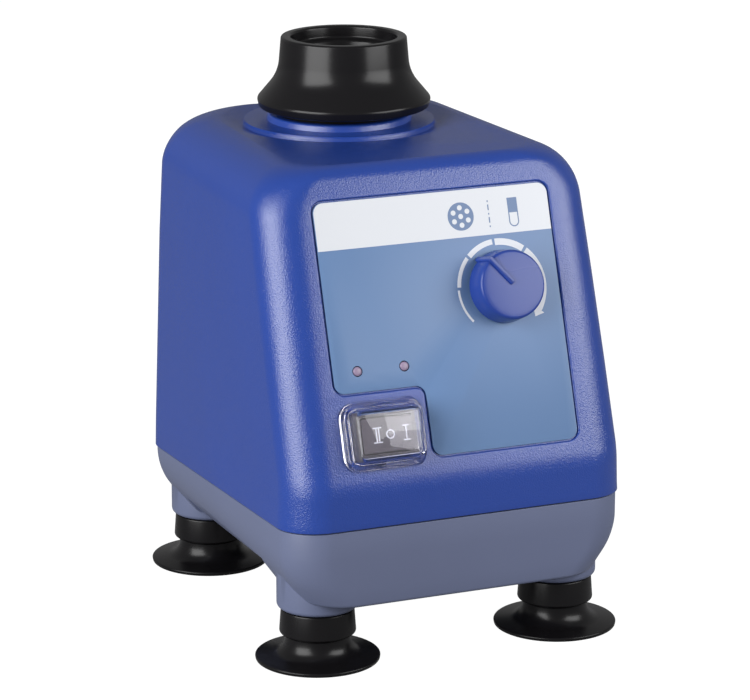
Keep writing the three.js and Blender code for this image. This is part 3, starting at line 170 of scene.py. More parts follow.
def paper_floor():
    """White paper under the object: a faint shadow from above, and clear when seen from below."""
    bm = bmesh.new()
    bmesh.ops.create_grid(bm, x_segments=1, y_segments=1, size=FLOOR_REACH)
    mesh = bpy.data.meshes.new("floor")
    bm.to_mesh(mesh)
    bm.free()
    floor = bpy.data.objects.new("floor", mesh)
    scene.collection.objects.link(floor)
    paper = bpy.data.materials.new("paper")
    paper.use_nodes = True
    tree = paper.node_tree
    shader = tree.nodes["Principled BSDF"]
    shader.inputs["Base Color"].default_value = (FLOOR_GREY, FLOOR_GREY, FLOOR_GREY, 1)
    shader.inputs["Roughness"].default_value = 1
    shader.inputs["Specular IOR Level"].default_value = 0
    glow = tree.nodes.new("ShaderNodeEmission")
    glow.inputs["Strength"].default_value = FLOOR_GLOW
    mix = tree.nodes.new("ShaderNodeMixShader")
    share = tree.nodes.new("ShaderNodeMath")
    share.operation = "MULTIPLY"
    share.inputs[1].default_value = 1 - SHADOW_SHARE
    tree.links.new(shown_ray(tree), share.inputs[0])
    tree.links.new(share.outputs[0], mix.inputs["Fac"])
    tree.links.new(shader.outputs[0], mix.inputs[1])
    tree.links.new(glow.outputs[0], mix.inputs[2])
    side = tree.nodes.new("ShaderNodeNewGeometry")
    clear = tree.nodes.new("ShaderNodeBsdfTransparent")
    seen_from = tree.nodes.new("ShaderNodeMixShader")
    tree.links.new(side.outputs["Backfacing"], seen_from.inputs["Fac"])
    tree.links.new(mix.outputs[0], seen_from.inputs[1])
    tree.links.new(clear.outputs[0], seen_from.inputs[2])
    tree.links.new(seen_from.outputs[0], tree.nodes["Material Output"].inputs["Surface"])
    mesh.materials.append(paper)
    print("a floor", 2 * FLOOR_REACH, "m across")


paper_floor()

# %% [markdown]
# Two soft boxes stand low beside the camera. The left one draws the bright band down the rounded
# corner, and the right one lightens the slanted front. A third one behind the object lightens its
# far edges, and is kept out of the gloss, where it would only leave thin glints. Little comes
# from above, so the top stays dark as in the photograph. A lamp's power follows from its size
# here, so a box can be made larger without making what it shows brighter.

# %% Soft boxes
AIM_HEIGHT = 90


def soft_box(name, turn, rise, distance, size, glow):
    """A rectangular lamp that faces the object, placed by degrees of turn and rise."""
    light = bpy.data.lights.new(name, "AREA")
    light.shape = "RECTANGLE"
    light.size, light.size_y = size[0] * mm, size[1] * mm
    light.energy = math.pi * light.size * light.size_y * glow
    lamp = bpy.data.objects.new(name, light)
    turn, rise = math.radians(turn), math.radians(rise)
    outward = Vector((
        math.cos(turn) * math.cos(rise), math.sin(turn) * math.cos(rise), math.sin(rise),
    ))
    lamp.location = (outward * distance + Vector((0, 0, AIM_HEIGHT))) * mm
    lamp.rotation_euler = outward.to_track_quat("Z", "Y").to_euler()
    scene.collection.objects.link(lamp)
    print(name, "at", [round(c, 2) for c in lamp.location])
    return lamp


soft_box("left_box", 198, 18, 1500, (1240, 1115), 6.6)
soft_box("right_box", 311, 21, 600, (480, 290), 5.4)
soft_box("rear_box", 40, 12, 1000, (500, 500), 3.4).visible_glossy = False

# %% [markdown]
# ## Helpers for shapes
#
# Most pieces are either turned on a lathe or drawn as an outline and raised. Both start from a
# path with rounded corners. A turned piece is then spun round its axis, and a raised one is
# skinned from one ring to the next. Holes and recesses are cut with a Boolean modifier, whose
# cutter has a flared lip, so the cut edge comes out rounded as a moulded edge is.

# %% Paths with rounded corners


def rounded_path(corners, steps=6):
    """Points of a closed flat path: each corner is (a, b), or (a, b, radius) for a round one."""
    points = []
    for i, (a, b, *radius) in enumerate(corners):
        here = Vector((a, b))
        if not radius:
            points.append(here)
            continue
        before = (Vector(corners[i - 1][:2]) - here).normalized()
        after = (Vector(corners[(i + 1) % len(corners)][:2]) - here).normalized()
        half = before.angle(after) / 2
        centre = here + (before + after).normalized() * radius[0] / math.sin(half)
        start = here + before * radius[0] / math.tan(half) - centre
        sweep = start.angle_signed(here + after * radius[0] / math.tan(half) - centre)
        for step in range(steps + 1):
            points.append(centre + Matrix.Rotation(-sweep * step / steps, 2) @ start)
    return points


def rounded_box(x, v, width, length, radius):
    """Corners of a rounded rectangle, by its middle and size, counterclockwise."""
    left, low = x - width / 2, v - length / 2
    return [
        (left, low, radius), (left + width, low, radius),
        (left + width, low + length, radius), (left, low + length, radius),
    ]


# %% Turning, skinning and raising
WELD_DISTANCE = 0.001
NO_AREA = 1e-9


def mesh_of(bm, place):
    """Finishes a bmesh: one skin, facing out, at its place in metres."""
    bmesh.ops.remove_doubles(bm, verts=bm.verts, dist=WELD_DISTANCE)
    bmesh.ops.recalc_face_normals(bm, faces=bm.faces)
    bmesh.ops.transform(bm, matrix=place, verts=bm.verts)
    mesh = bpy.data.meshes.new("shape")
    bm.to_mesh(mesh)
    bm.free()
    return mesh


def turned(corners, place, around=96, steps=6):
    """A closed profile of (radius, height) corners, spun round the upright axis."""
    bm = bmesh.new()
    verts = [bm.verts.new((p.x, 0, p.y)) for p in rounded_path(corners, steps=steps)]
    edges = [bm.edges.new(pair) for pair in zip(verts, verts[1:] + verts[:1])]
    bmesh.ops.spin(bm, geom=verts + edges, cent=(0, 0, 0), axis=(0, 0, 1), angle=2 * math.pi,
                   steps=around, use_merge=True)
    loose = [e for e in bm.edges if not e.link_faces]
    bmesh.ops.delete(bm, geom=loose, context="EDGES")
    on_axis = [f for f in bm.faces if f.calc_area() < NO_AREA]
    bmesh.ops.delete(bm, geom=on_axis, context="FACES")
    return mesh_of(bm, place)


def skinned(rings, place):
    """A closed skin through rings with equal numbers of points, capped at both ends."""
    bm = bmesh.new()
    loops = []
    for ring in rings:
        verts = [bm.verts.new(point) for point in ring]
        loops.append([bm.edges.new(pair) for pair in zip(verts, verts[1:] + verts[:1])])
    for lower, upper in zip(loops, loops[1:]):
        bmesh.ops.bridge_loops(bm, edges=lower + upper)
    for loop in (loops[0], loops[-1]):
        bmesh.ops.contextual_create(bm, geom=loop)
    return mesh_of(bm, place)


def raised(levels, place, steps=6):
    """A block raised through (corners, height) levels, whose outlines have equal corners."""
    return skinned([[(p.x, p.y, height) for p in rounded_path(corners, steps=steps)]
                    for corners, height in levels], place)


def straight(corners, low, high, place):
    """A block with the same outline all the way up."""
    return raised([(corners, low), (corners, high)], place)


def joined(meshes):
    """One mesh of several closed ones."""
    bm = bmesh.new()
    for mesh in meshes:
        bm.from_mesh(mesh)
        bpy.data.meshes.remove(mesh)
    whole = bpy.data.meshes.new("shape")
    bm.to_mesh(whole)
    bm.free()
    return whole


# %% Making a piece and cutting it
SHARP_ANGLE = math.radians(38)


def smooth_between_edges(mesh):
    """Smooth shading, but for the edges that turn sharply."""
    mesh.shade_smooth()
    mesh.set_sharp_from_angle(angle=SHARP_ANGLE)


def piece(name, mesh, material):
    """A scene object with its material, smooth but for its sharp edges."""
    mesh.name = name
    shape = bpy.data.objects.new(name, mesh)
    scene.collection.objects.link(shape)
    mesh.materials.clear()
    mesh.materials.append(material)
    smooth_between_edges(mesh)
    return shape


def settle(shape, body, slot, *replaced):
    """The piece rides on its body and stands for the nodes it replaces; the slot is not used."""
    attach(shape, body)
    if replaced:
        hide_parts(*replaced)


def bake_modifiers(shape):
    """Gives a piece the mesh that its modifiers make, and takes the modifiers off."""
    bpy.context.view_layer.update()
    evaluated = shape.evaluated_get(bpy.context.evaluated_depsgraph_get())
    mesh = bpy.data.meshes.new_from_object(evaluated)
    shape.modifiers.clear()
    old = shape.data
    shape.data = mesh
    bpy.data.meshes.remove(old)


def carve(shape, *tools, how="DIFFERENCE"):
    """Cuts the tools' meshes from a piece, or joins them to it, one after another."""
    for tool_mesh in tools:
        tool = bpy.data.objects.new("tool", tool_mesh)
        scene.collection.objects.link(tool)
        change = shape.modifiers.new("change", "BOOLEAN")
        change.operation = how
        change.solver = "EXACT"
        change.object = tool
        bake_modifiers(shape)
        bpy.data.objects.remove(tool)
        bpy.data.meshes.remove(tool_mesh)
    smooth_between_edges(shape.data)
    print(shape.name, "has", len(shape.data.polygons), "faces")


# %% [markdown]
# ## Finishes
#
# The housing is coloured plastic from a finely etched mould, so it glints in tiny grains along
# its highlights. The tray's plastic is duller and its grain shallower. Cup and feet are moulded
# rubber, a little glossy, and the boot is dull. Colour and roughness also vary a little in wide
# soft clouds, as on any moulded part. One node group makes grain and clouds for all these, and
# each material sets its own scale and depth. A picture of the grain would be simpler to use, but
# it would have to be stretched over every piece.

# %% Grain shared by the moulded finishes
COARSE_RATIO = 0.38
CLOUD_SCALE = 22
NOISE_DETAIL = 2


def grain_group():
    """Height of an etched skin: coarse and fine noise over Object coordinates."""
    group = bpy.data.node_groups.new("moulded grain", "ShaderNodeTree")
    face = group.interface
    size = face.new_socket("Grain Scale", in_out="INPUT", socket_type="NodeSocketFloat")
    size.default_value = 900
    blend = face.new_socket("Coarse Share", in_out="INPUT", socket_type="NodeSocketFloat")
    blend.default_value = 0.4
    face.new_socket("Height", in_out="OUTPUT", socket_type="NodeSocketFloat")
    face.new_socket("Cloud", in_out="OUTPUT", socket_type="NodeSocketFloat")
    add, link = group.nodes.new, group.links.new
    given, put = add("NodeGroupInput"), add("NodeGroupOutput")
    where = add("ShaderNodeTexCoord")
    fine, coarse, cloud = [add("ShaderNodeTexNoise") for _ in range(3)]
    wider = add("ShaderNodeMath")
    wider.operation = "MULTIPLY"
    wider.inputs[1].default_value = COARSE_RATIO
    both = add("ShaderNodeMix")
    link(given.outputs["Grain Scale"], fine.inputs["Scale"])
    link(given.outputs["Grain Scale"], wider.inputs[0])
    link(wider.outputs[0], coarse.inputs["Scale"])
    cloud.inputs["Scale"].default_value = CLOUD_SCALE
    for noise in (fine, coarse, cloud):
        link(where.outputs["Object"], noise.inputs["Vector"])
        noise.inputs["Detail"].default_value = NOISE_DETAIL
    link(given.outputs["Coarse Share"], both.inputs["Factor"])
    link(fine.outputs["Fac"], both.inputs["A"])
    link(coarse.outputs["Fac"], both.inputs["B"])
    link(both.outputs["Result"], put.inputs["Height"])
    link(cloud.outputs["Fac"], put.inputs["Cloud"])
    return group


moulded_grain = grain_group()
print("the grain group has", len(moulded_grain.nodes), "nodes")

# %% A finish and its values
ROUGHNESS_SPREAD = 0.05


def finish(name, colour, roughness, grain=900, coarse=0.4, depth=0.0, metallic=0.0, level=0.5,
           shade=0.06):
    """A finish whose colour and roughness vary a little, over an etched or smooth skin."""
    material = bpy.data.materials.new(name)
    material.use_nodes = True
    tree = material.node_tree
    shader = tree.nodes["Principled BSDF"]
    add, link = tree.nodes.new, tree.links.new
    skin = add("ShaderNodeGroup")
    skin.node_tree = moulded_grain
    skin.inputs["Grain Scale"].default_value = grain
    skin.inputs["Coarse Share"].default_value = coarse
    tint = add("ShaderNodeMix")
    tint.data_type = "RGBA"
    tint.inputs["A"].default_value = (*[c * (1 - shade) for c in colour], 1)
    tint.inputs["B"].default_value = (*[min(c * (1 + shade), 1) for c in colour], 1)
    rough = add("ShaderNodeMapRange")
    rough.inputs["To Min"].default_value = roughness - ROUGHNESS_SPREAD
    rough.inputs["To Max"].default_value = roughness + ROUGHNESS_SPREAD
    link(skin.outputs["Cloud"], tint.inputs["Factor"])
    link(skin.outputs["Cloud"], rough.inputs["Value"])
    link(tint.outputs["Result"], shader.inputs["Base Color"])
    link(rough.outputs["Result"], shader.inputs["Roughness"])
    shader.inputs["Metallic"].default_value = metallic
    shader.inputs["Specular IOR Level"].default_value = level
    if depth:
        bump = add("ShaderNodeBump")
        bump.inputs["Strength"].default_value = 1
        bump.inputs["Distance"].default_value = depth * mm
        link(skin.outputs["Height"], bump.inputs["Height"])
        link(bump.outputs["Normal"], shader.inputs["Normal"])
    return material


def srgb(red, green, blue):
    """A colour as it is seen, 0 to 255, in the linear values that a shader takes."""
    return [((c / 255 + 0.055) / 1.055) ** 2.4 if c > 10 else c / 255 / 12.92
            for c in (red, green, blue)]


# %% Plastics, rubber and metal
housing_blue = finish("housing_blue", srgb(35, 67, 152), 0.23, grain=2200, coarse=0.2,
                      depth=0.15, level=0.66)
knob_blue = finish("knob_blue", srgb(38, 64, 146), 0.27, grain=2500, depth=0.008, level=0.42)
tray_grey = finish("tray_grey", srgb(102, 110, 139), 0.42, grain=1800, depth=0.03)
cup_rubber = finish("cup_rubber", srgb(20, 19, 21), 0.24, grain=2200, depth=0.006, level=0.28)
boot_rubber = finish("boot_rubber", srgb(14, 14, 15), 0.75, grain=2200, depth=0.02, level=0.1)
foot_rubber = finish("foot_rubber", srgb(16, 15, 17), 0.28, grain=1800, depth=0.006, level=0.28)
panel_film = finish("panel_film", srgb(102, 132, 175), 0.4, grain=2600, depth=0.004, level=0.4)
print_white = finish("print_white", srgb(222, 225, 231), 0.4, grain=2600, depth=0.004,
                     level=0.3, shade=0.0)
print_grey = finish("print_grey", srgb(110, 132, 168), 0.4, grain=2600, depth=0.004, level=0.3)
rocker_grey = finish("rocker_grey", srgb(88, 84, 90), 0.35, grain=1500, depth=0.02)
frame_grey = finish("frame_grey", srgb(70, 68, 76), 0.35, grain=1500, depth=0.02)
black_plastic = finish("black_plastic", srgb(32, 32, 36), 0.42, grain=1400, depth=0.03)
lamp_red = finish("lamp_red", srgb(150, 132, 158), 0.3, grain=900, shade=0.12)
steel = finish("steel", (0.56, 0.57, 0.58), 0.3, grain=700, depth=0.01, metallic=1)
iron = finish("iron", (0.16, 0.16, 0.17), 0.6, grain=900, depth=0.06, metallic=0.9)
brass = finish("brass", (0.6, 0.44, 0.19), 0.32, grain=700, depth=0.01, metallic=1)
board_green = finish("board_green", srgb(38, 100, 62), 0.4, grain=900, depth=0.02)
button_red = finish("button_red", srgb(170, 40, 36), 0.4, grain=1500, depth=0.02)
print(len(bpy.data.materials), "materials in all so far")

# %% Clear plastic
CAP_TINT, CAP_IOR = (0.93, 0.92, 0.97), 1.43
CAP_ROUGHNESS = 0.01, 0.03


def clear_plastic():
    """The cap over the switch: soft clear plastic, a little blue."""
    material = bpy.data.materials.new("clear_cap")
    material.use_nodes = True
    tree = material.node_tree
    shader = tree.nodes["Principled BSDF"]
    shader.inputs["Base Color"].default_value = (*CAP_TINT, 1)
    shader.inputs["Transmission Weight"].default_value = 1
    shader.inputs["IOR"].default_value = CAP_IOR
    skin = tree.nodes.new("ShaderNodeGroup")
    skin.node_tree = moulded_grain
    rough = tree.nodes.new("ShaderNodeMapRange")
    rough.inputs["To Min"].default_value, rough.inputs["To Max"].default_value = CAP_ROUGHNESS
    tree.links.new(skin.outputs["Cloud"], rough.inputs["Value"])
    tree.links.new(rough.outputs["Result"], shader.inputs["Roughness"])
    return material


clear_cap = clear_plastic()
print("the clear cap bends light by", CAP_IOR)

# %% [markdown]
# ## Upper housing
#
# The housing is a rounded box whose front leans back from a soft knee and whose sides draw in a
# little upward. A box with bevelled edges could be bent into this, but the round edges would not
# keep their radius. So it is skinned through level rings: each ring is a rounded rectangle whose
# front, rear and sides have fallen back by the round edges at its height. Going up, the sides
# flare very slightly toward the front, and the rear corners open into round shoulders. The lowest
# rings follow the sloping parting line.

# %% The housing's outline from the side
KNEE_RADIUS = 20.0
TOP_HEIGHT = 160.2
SIDE_TOP_RADIUS, REAR_TOP_RADIUS, FRONT_TOP_RADIUS = 16.5, 6.0, 6.0
PARTING_FRONT, PARTING_REAR, PARTING_GAP = 48.9, 41.5, 0.4
KNEE_START = KNEE_HEIGHT - KNEE_RADIUS * math.tan(LEAN / 2)


def fall(height, start, radius):
    """How far a round edge has fallen back at a height above its start."""
    if height <= start:
        return 0
    return radius - math.sqrt(max(radius**2 - (height - start) ** 2, 0))


def slant_y(height, depth):
    """Where the slanted face lies at a height, and at a depth under its skin."""
    return -HALF_DEPTH + (depth + math.sin(LEAN) * (height - KNEE_HEIGHT)) / math.cos(LEAN)


def front_y(height, inset):
    """The front's outline: upright, round knee, slant, round brow."""
    knee, brow = KNEE_RADIUS - inset, FRONT_TOP_RADIUS - inset
    brow_start = TOP_HEIGHT - inset - brow
    if height < KNEE_START + knee * math.sin(LEAN):
        return -HALF_DEPTH + inset + fall(height, KNEE_START, knee)
    if height <= brow_start + brow * math.sin(LEAN):
        return slant_y(height, inset)
    return slant_y(brow_start, inset + brow) - brow + fall(height, brow_start, brow)


def parting_at(y):
    """Height of the sloping line where housing and tray meet."""
    slope = (PARTING_REAR - PARTING_FRONT) / (2 * HALF_DEPTH)
    return (PARTING_FRONT + PARTING_REAR) / 2 + slope * y


print("the face starts to lean at", round(KNEE_START, 1), "mm")

# %% Rings of the housing
HALF_WIDTH = 60.0
REAR_NARROWING = 3.0
CORNER_RADIUS, CORNER_STEPS = 14.0, 18
DRAFT = math.tan(math.radians(1.55))
FRONT_FLARE = 1.4
SHOULDER_HEIGHT, SHOULDER_WIDENING = 132, 8.0


def narrowing(y):
    """How much a side has come in at a distance from the middle of the depth."""
    return REAR_NARROWING * (y + HALF_DEPTH) / (2 * HALF_DEPTH)


def corner_ring(front, rear, half_at, radii, height_at):
    """A rounded rectangle, counterclockwise from the rear right corner.

    Half its width and its height depend on y, and radii are those of the rear and front corners.
    """
    ring = []
    for corner in range(4):
        side_x = 1 if corner in (0, 3) else -1
        radius = radii[corner // 2]
        edge, inward = (rear, -radius) if corner < 2 else (front, radius)
        for step in range(CORNER_STEPS + 1):
            angle = (corner + step / CORNER_STEPS) * math.pi / 2
            x = side_x * (half_at(edge) - radius) + radius * math.cos(angle)
            y = edge + inward + radius * math.sin(angle)
            ring.append((x, y, height_at(y)))
    return ring


def housing_ring(height_at, inset=0.0):
    """One ring of the housing; the height may follow the parting line."""
    level = height_at(0)
    draft = DRAFT * (level - PARTING_FRONT)
    top = TOP_HEIGHT - inset
    side_radius, rear_radius = SIDE_TOP_RADIUS - inset, REAR_TOP_RADIUS - inset
    side = HALF_WIDTH - inset - draft - fall(level, top - side_radius, side_radius)
    rear = HALF_DEPTH - inset - draft - fall(level, top - rear_radius, rear_radius)
    above_knee = max(level - KNEE_HEIGHT, 0) / (TOP_HEIGHT - KNEE_HEIGHT)
    near_top = max(level - SHOULDER_HEIGHT, 0) / (TOP_HEIGHT - SHOULDER_HEIGHT)
    corner = CORNER_RADIUS - inset
    front = front_y(level, inset)
    flare = FRONT_FLARE * (1 - (1 - above_knee) ** 2) / (rear - front)
    return corner_ring(front, rear, lambda y: side - narrowing(y) + flare * (rear - y),
                       (corner + SHOULDER_WIDENING * near_top**2, corner), height_at)


print("the housing's rings have", 4 * (CORNER_STEPS + 1), "points each")

# %% [markdown]
# The skin needs rings closer together where it curves: through the knee, and most of all toward
# the top. Along the parting line its edge turns in by a small round lip, as a moulded edge does.
# The hollow is skinned in the same way, smaller by the wall, and is cut out later.

# %% The housing's skin and hollow
HOUSING_WALL = 2.8
HOUSING_LIP, ABOVE_LIP = 0.35, 2.5
KNEE_RINGS, TOP_RINGS, HOLLOW_RINGS = 8, 36, 9
HOLLOW_LOW = 30


def level_rings(ring_at, levels, inset=0.0):
    """Level rings of a form at several heights."""
    return [ring_at(lambda y, z=z: z, inset) for z in levels]


def lip_rings(ring_at, height_at, lip, upward):
    """Rings that round the edge along the parting line, from the edge inward to the wall."""
    rings = []
    for share in (0, 0.3, 0.6, 1) if upward > 0 else (1, 0.6, 0.3, 0):
        inset = lip * (1 - math.sqrt(1 - (1 - share) ** 2))
        rings.append(ring_at(lambda y, rise=upward * lip * share: height_at(y) + rise, inset))
    return rings


def turn_levels(inset, steps):
    """Heights through the round top, closer together toward the top."""
    radius = SIDE_TOP_RADIUS - inset
    return [TOP_HEIGHT - inset - radius * (1 - math.sin(i / steps * math.pi / 2))
            for i in range(steps + 1)]


def housing_outside():
    """The skin: the lip at the parting line, the knee, the plain faces and the round top."""
    rings = lip_rings(housing_ring, lambda y: parting_at(y) + PARTING_GAP / 2, HOUSING_LIP, 1)
    levels = [PARTING_FRONT + ABOVE_LIP]
    levels += [KNEE_START + KNEE_RADIUS * math.sin(LEAN) * i / KNEE_RINGS
               for i in range(KNEE_RINGS + 1)]
    levels += [KNEE_HEIGHT + (TOP_HEIGHT - SIDE_TOP_RADIUS - KNEE_HEIGHT) * share
               for share in (0.35, 0.7)]
    levels += turn_levels(0, TOP_RINGS)
    return skinned(rings + level_rings(housing_ring, levels), upright)


def housing_hollow():
    """What is hollow: it reaches down past the parting line, so the shell is open below."""
    knee_rise = (KNEE_RADIUS - HOUSING_WALL) * math.sin(LEAN)
    levels = [HOLLOW_LOW, KNEE_START, KNEE_START + knee_rise / 2, KNEE_START + knee_rise]
    levels += turn_levels(HOUSING_WALL, HOLLOW_RINGS)
    return skinned(level_rings(housing_ring, levels, HOUSING_WALL), upright)


shell = piece("upper_housing_shell", housing_outside(), housing_blue)
print("the shell starts with", len(shell.data.polygons), "faces")

# %% [markdown]
# The cup's collar is a wide low ring with a smaller one on it. It stands in a shallow moat whose
# floor runs out softly into the round top. Both are turned about the shaft: the moat is cut away
# first, together with the hollow, and then the collar is joined on.

# %% Moat and collar
COLLAR_RADIUS, COLLAR_TOP, COLLAR_ROUND = 32.6, 159.6, 1.2
INNER_COLLAR_RADIUS, INNER_COLLAR_TOP = 24.2, 162.4
THROAT_RADIUS, THROAT_BOTTOM = 24.3, 152.9
COLLAR_BORE, BORE_SPARE = 18.0, 2
MOAT_DEPTH, MOAT_OVERLAP = 1.7, 0.3
MOAT_END_RADIUS, MOAT_END_RISE, MOAT_CLEAR = 43.8, 1.0, 8
COLLAR_STEPS = 128


def collar_moat():
    """The cutter of the moat, whose floor slopes up until it has left the top."""
    inside = COLLAR_RADIUS - MOAT_OVERLAP
    return turned([
        (inside, TOP_HEIGHT - MOAT_DEPTH), (COLLAR_RADIUS + 0.4, TOP_HEIGHT - MOAT_DEPTH, 1.2),
        (MOAT_END_RADIUS, TOP_HEIGHT + MOAT_END_RISE), (MOAT_END_RADIUS, TOP_HEIGHT + MOAT_CLEAR),
        (inside, TOP_HEIGHT + MOAT_CLEAR),
    ], drive, around=COLLAR_STEPS)


def collar():
    """The two rings, and the throat that reaches down inside, with a little left for the bore."""
    below, inside = TOP_HEIGHT - 0.8 * HOUSING_WALL, COLLAR_BORE - BORE_SPARE
    return turned([
        (inside, THROAT_BOTTOM), (THROAT_RADIUS, THROAT_BOTTOM), (THROAT_RADIUS, below),
        (COLLAR_RADIUS, below), (COLLAR_RADIUS, COLLAR_TOP, COLLAR_ROUND),
        (INNER_COLLAR_RADIUS + 0.5, COLLAR_TOP, 0.8), (INNER_COLLAR_RADIUS, INNER_COLLAR_TOP, 0.9),
        (inside, INNER_COLLAR_TOP),
    ], drive, around=COLLAR_STEPS)


carve(shell, collar_moat(), housing_hollow())

# %% [markdown]
# Inside, four posts take the screws that hold the housing on the tray, with ribs to the nearest
# wall as in any moulded case. Two small posts behind the slanted front carry the board. They are
# plain rods and blocks that are joined on before the openings are cut.

# %% Posts and ribs
POST_RADIUS, POST_TOP, POST_RIB = 4.6, 61.0, 2.8
POST_GAP, RIB_OVERLAP = 0.6, 1
FRONT_POSTS = [(-39.0, -28.0), (39.0, -28.0)]
REAR_POSTS = [(-20.0, 62.6), (20.0, 62.6)]
BOARD_POST_X, BOARD_POST_V, BOARD_POST_RADIUS = 33.0, 77.0, 3.0
BOARD_POST_END, BOARD_POST_ROOT = -14.7, -2


def rod(radius, low, high, place, around=32):
    """A plain round rod between two heights of its place."""
    return turned([(0, low), (radius, low), (radius, high), (0, high)], place, around)


def at(x, y):
    """The upright frame, moved in plan."""
    return upright @ Matrix.Translation((x, y, 0))


def on_slant(x, v):
    """The slanted front's frame, moved along the face."""
    return slant @ Matrix.Translation((x, v, 0))


def upright_box(x0, x1, y0, y1, low, high):
    """A plain block between two corners."""
    return straight([(x0, y0), (x1, y0), (x1, y1), (x0, y1)], low, high, upright)


def housing_posts():
    """The posts for the four screws, their ribs to the walls, and the two posts for the board."""
    tools = []
    for x, y in FRONT_POSTS + REAR_POSTS:
        foot = parting_at(y) + POST_GAP
        tools.append(rod(POST_RADIUS, foot, POST_TOP, at(x, y)))
        if y < 0:
            wall_x = math.copysign(HALF_WIDTH - narrowing(y) - HOUSING_WALL + RIB_OVERLAP, x)
            x0, x1 = sorted((x, wall_x))
            y0, y1 = y - POST_RIB / 2, y + POST_RIB / 2
        else:
            x0, x1 = x - POST_RIB / 2, x + POST_RIB / 2
            y0, y1 = y, HALF_DEPTH - HOUSING_WALL + RIB_OVERLAP
        tools.append(upright_box(x0, x1, y0, y1, foot, POST_TOP))
    for x in (-BOARD_POST_X, BOARD_POST_X):
        tools.append(rod(BOARD_POST_RADIUS, BOARD_POST_END, BOARD_POST_ROOT,
                         on_slant(x, BOARD_POST_V), around=24))
    return tools


carve(shell, collar(), *housing_posts(), how="UNION")

# %% [markdown]
# The panel lies in a recess with a soft lip, notched round the switch. A real mould would have
# that shape standing proud, so here it is one cutter, flared at its top. The clear cap stands in
# a shallow seat of its own, and the other openings are plain: the collar's bore with a seat for
# the boot, the holes for switch, knob, lamps and screws, and the one for the inlet at the rear.

# %% The panel's recess
LABEL_HALF_WIDTH, LABEL_LOW, LABEL_HIGH, LABEL_CORNER = 41.3, 7.6, 92.0, 3.4
LABEL_THICKNESS = 0.5
NOTCH_X, NOTCH_V = -10.2, 30.6
GROOVE, RECESS_LIP, RECESS_SPARE = 0.5, 0.6, 0.3
ABOVE_FACE = 3


def label_corners(grow=0.0):
    """The panel's outline, grown or shrunk evenly: its inner corner is at the notch."""
    left, right_side = -LABEL_HALF_WIDTH - grow, LABEL_HALF_WIDTH + grow
    low, high = LABEL_LOW - grow, LABEL_HIGH + grow
    outer, inner = LABEL_CORNER + grow, LABEL_CORNER - grow
    return [
        (NOTCH_X - grow, low, outer), (right_side, low, outer), (right_side, high, outer),
        (left, high, outer), (left, NOTCH_V - grow, outer), (NOTCH_X - grow, NOTCH_V - grow, inner),
    ]


def lipped(corners_at, depth, lip):
    """Levels of a cutter that opens a recess: straight below, flaring into a round lip on top."""
    levels = [(corners_at(0), -depth)]
    for share in (0, 0.3, 0.55, 0.78, 0.94, 1):
        angle = share * math.pi / 2
        levels.append((corners_at(lip * (1 - math.cos(angle))), -lip * (1 - math.sin(angle))))
    levels.append((corners_at(lip * 1.02), ABOVE_FACE))
    return levels


recess = raised(lipped(lambda grow: label_corners(GROOVE + grow),
                       LABEL_THICKNESS + RECESS_SPARE, RECESS_LIP), slant)
print("the panel is", 2 * LABEL_HALF_WIDTH, "mm wide and", LABEL_HIGH - LABEL_LOW, "mm long")

# %% Openings
BOOT_SEAT_RADIUS, BOOT_SEAT_HEIGHT = 21.5, 158.5
BORE_BELOW, BORE_ABOVE = TOP_HEIGHT - 12, INNER_COLLAR_TOP + 6
SWITCH_X, SWITCH_V = -26.95, 16.4
SWITCH_HOLE = (20.4, 13.8, 0.5)
CAP_SEAT, CAP_SEAT_DEPTH, ABOVE_SEAT = (29.4, 22.9, 5.4), 0.5, 4
KNOB_X, KNOB_V, KNOB_HOLE = 21.1, 59.3, 5.1
LAMP_PLACES = {"left": -32.9, "right": -16.6}
LAMP_V, LAMP_RADIUS, LAMP_CLEARANCE = 37.4, 1.45, 0.3
SCREW_BORE = 2.1
BOARD_BORE, BOARD_BORE_LOW, BOARD_BORE_HIGH = 1.6, BOARD_POST_END - 5, BOARD_POST_END + 6
INLET_Z, INLET_WIDTH, INLET_TALL, INLET_CLEARANCE = 54.4, 27.0, 19.8, 0.6
THROUGH, THROUGH_REAR = 8, 9
rear_wall = (upright @ Matrix.Translation((0, HALF_DEPTH, INLET_Z))
             @ Matrix.Rotation(math.pi, 4, "Z") @ Matrix.Rotation(math.pi / 2, 4, "X"))


def collar_bore():
    """The bore through the collar, with the wider seat for the boot."""
    return turned([
        (0, BORE_BELOW), (COLLAR_BORE, BORE_BELOW), (COLLAR_BORE, BOOT_SEAT_HEIGHT),
        (BOOT_SEAT_RADIUS, BOOT_SEAT_HEIGHT), (BOOT_SEAT_RADIUS, BORE_ABOVE), (0, BORE_ABOVE),
    ], drive)


def front_openings():
    """The cap's seat and the holes for switch, knob and lamps."""
    lamp_hole = LAMP_RADIUS + LAMP_CLEARANCE
    return [
        straight(rounded_box(SWITCH_X, SWITCH_V, *CAP_SEAT), -CAP_SEAT_DEPTH, ABOVE_SEAT, slant),
        straight(rounded_box(SWITCH_X, SWITCH_V, *SWITCH_HOLE), -THROUGH, THROUGH, slant),
        rod(KNOB_HOLE, -THROUGH, THROUGH, on_slant(KNOB_X, KNOB_V)),
        *[rod(lamp_hole, -THROUGH, THROUGH, on_slant(x, LAMP_V), around=24)
          for x in LAMP_PLACES.values()],
    ]


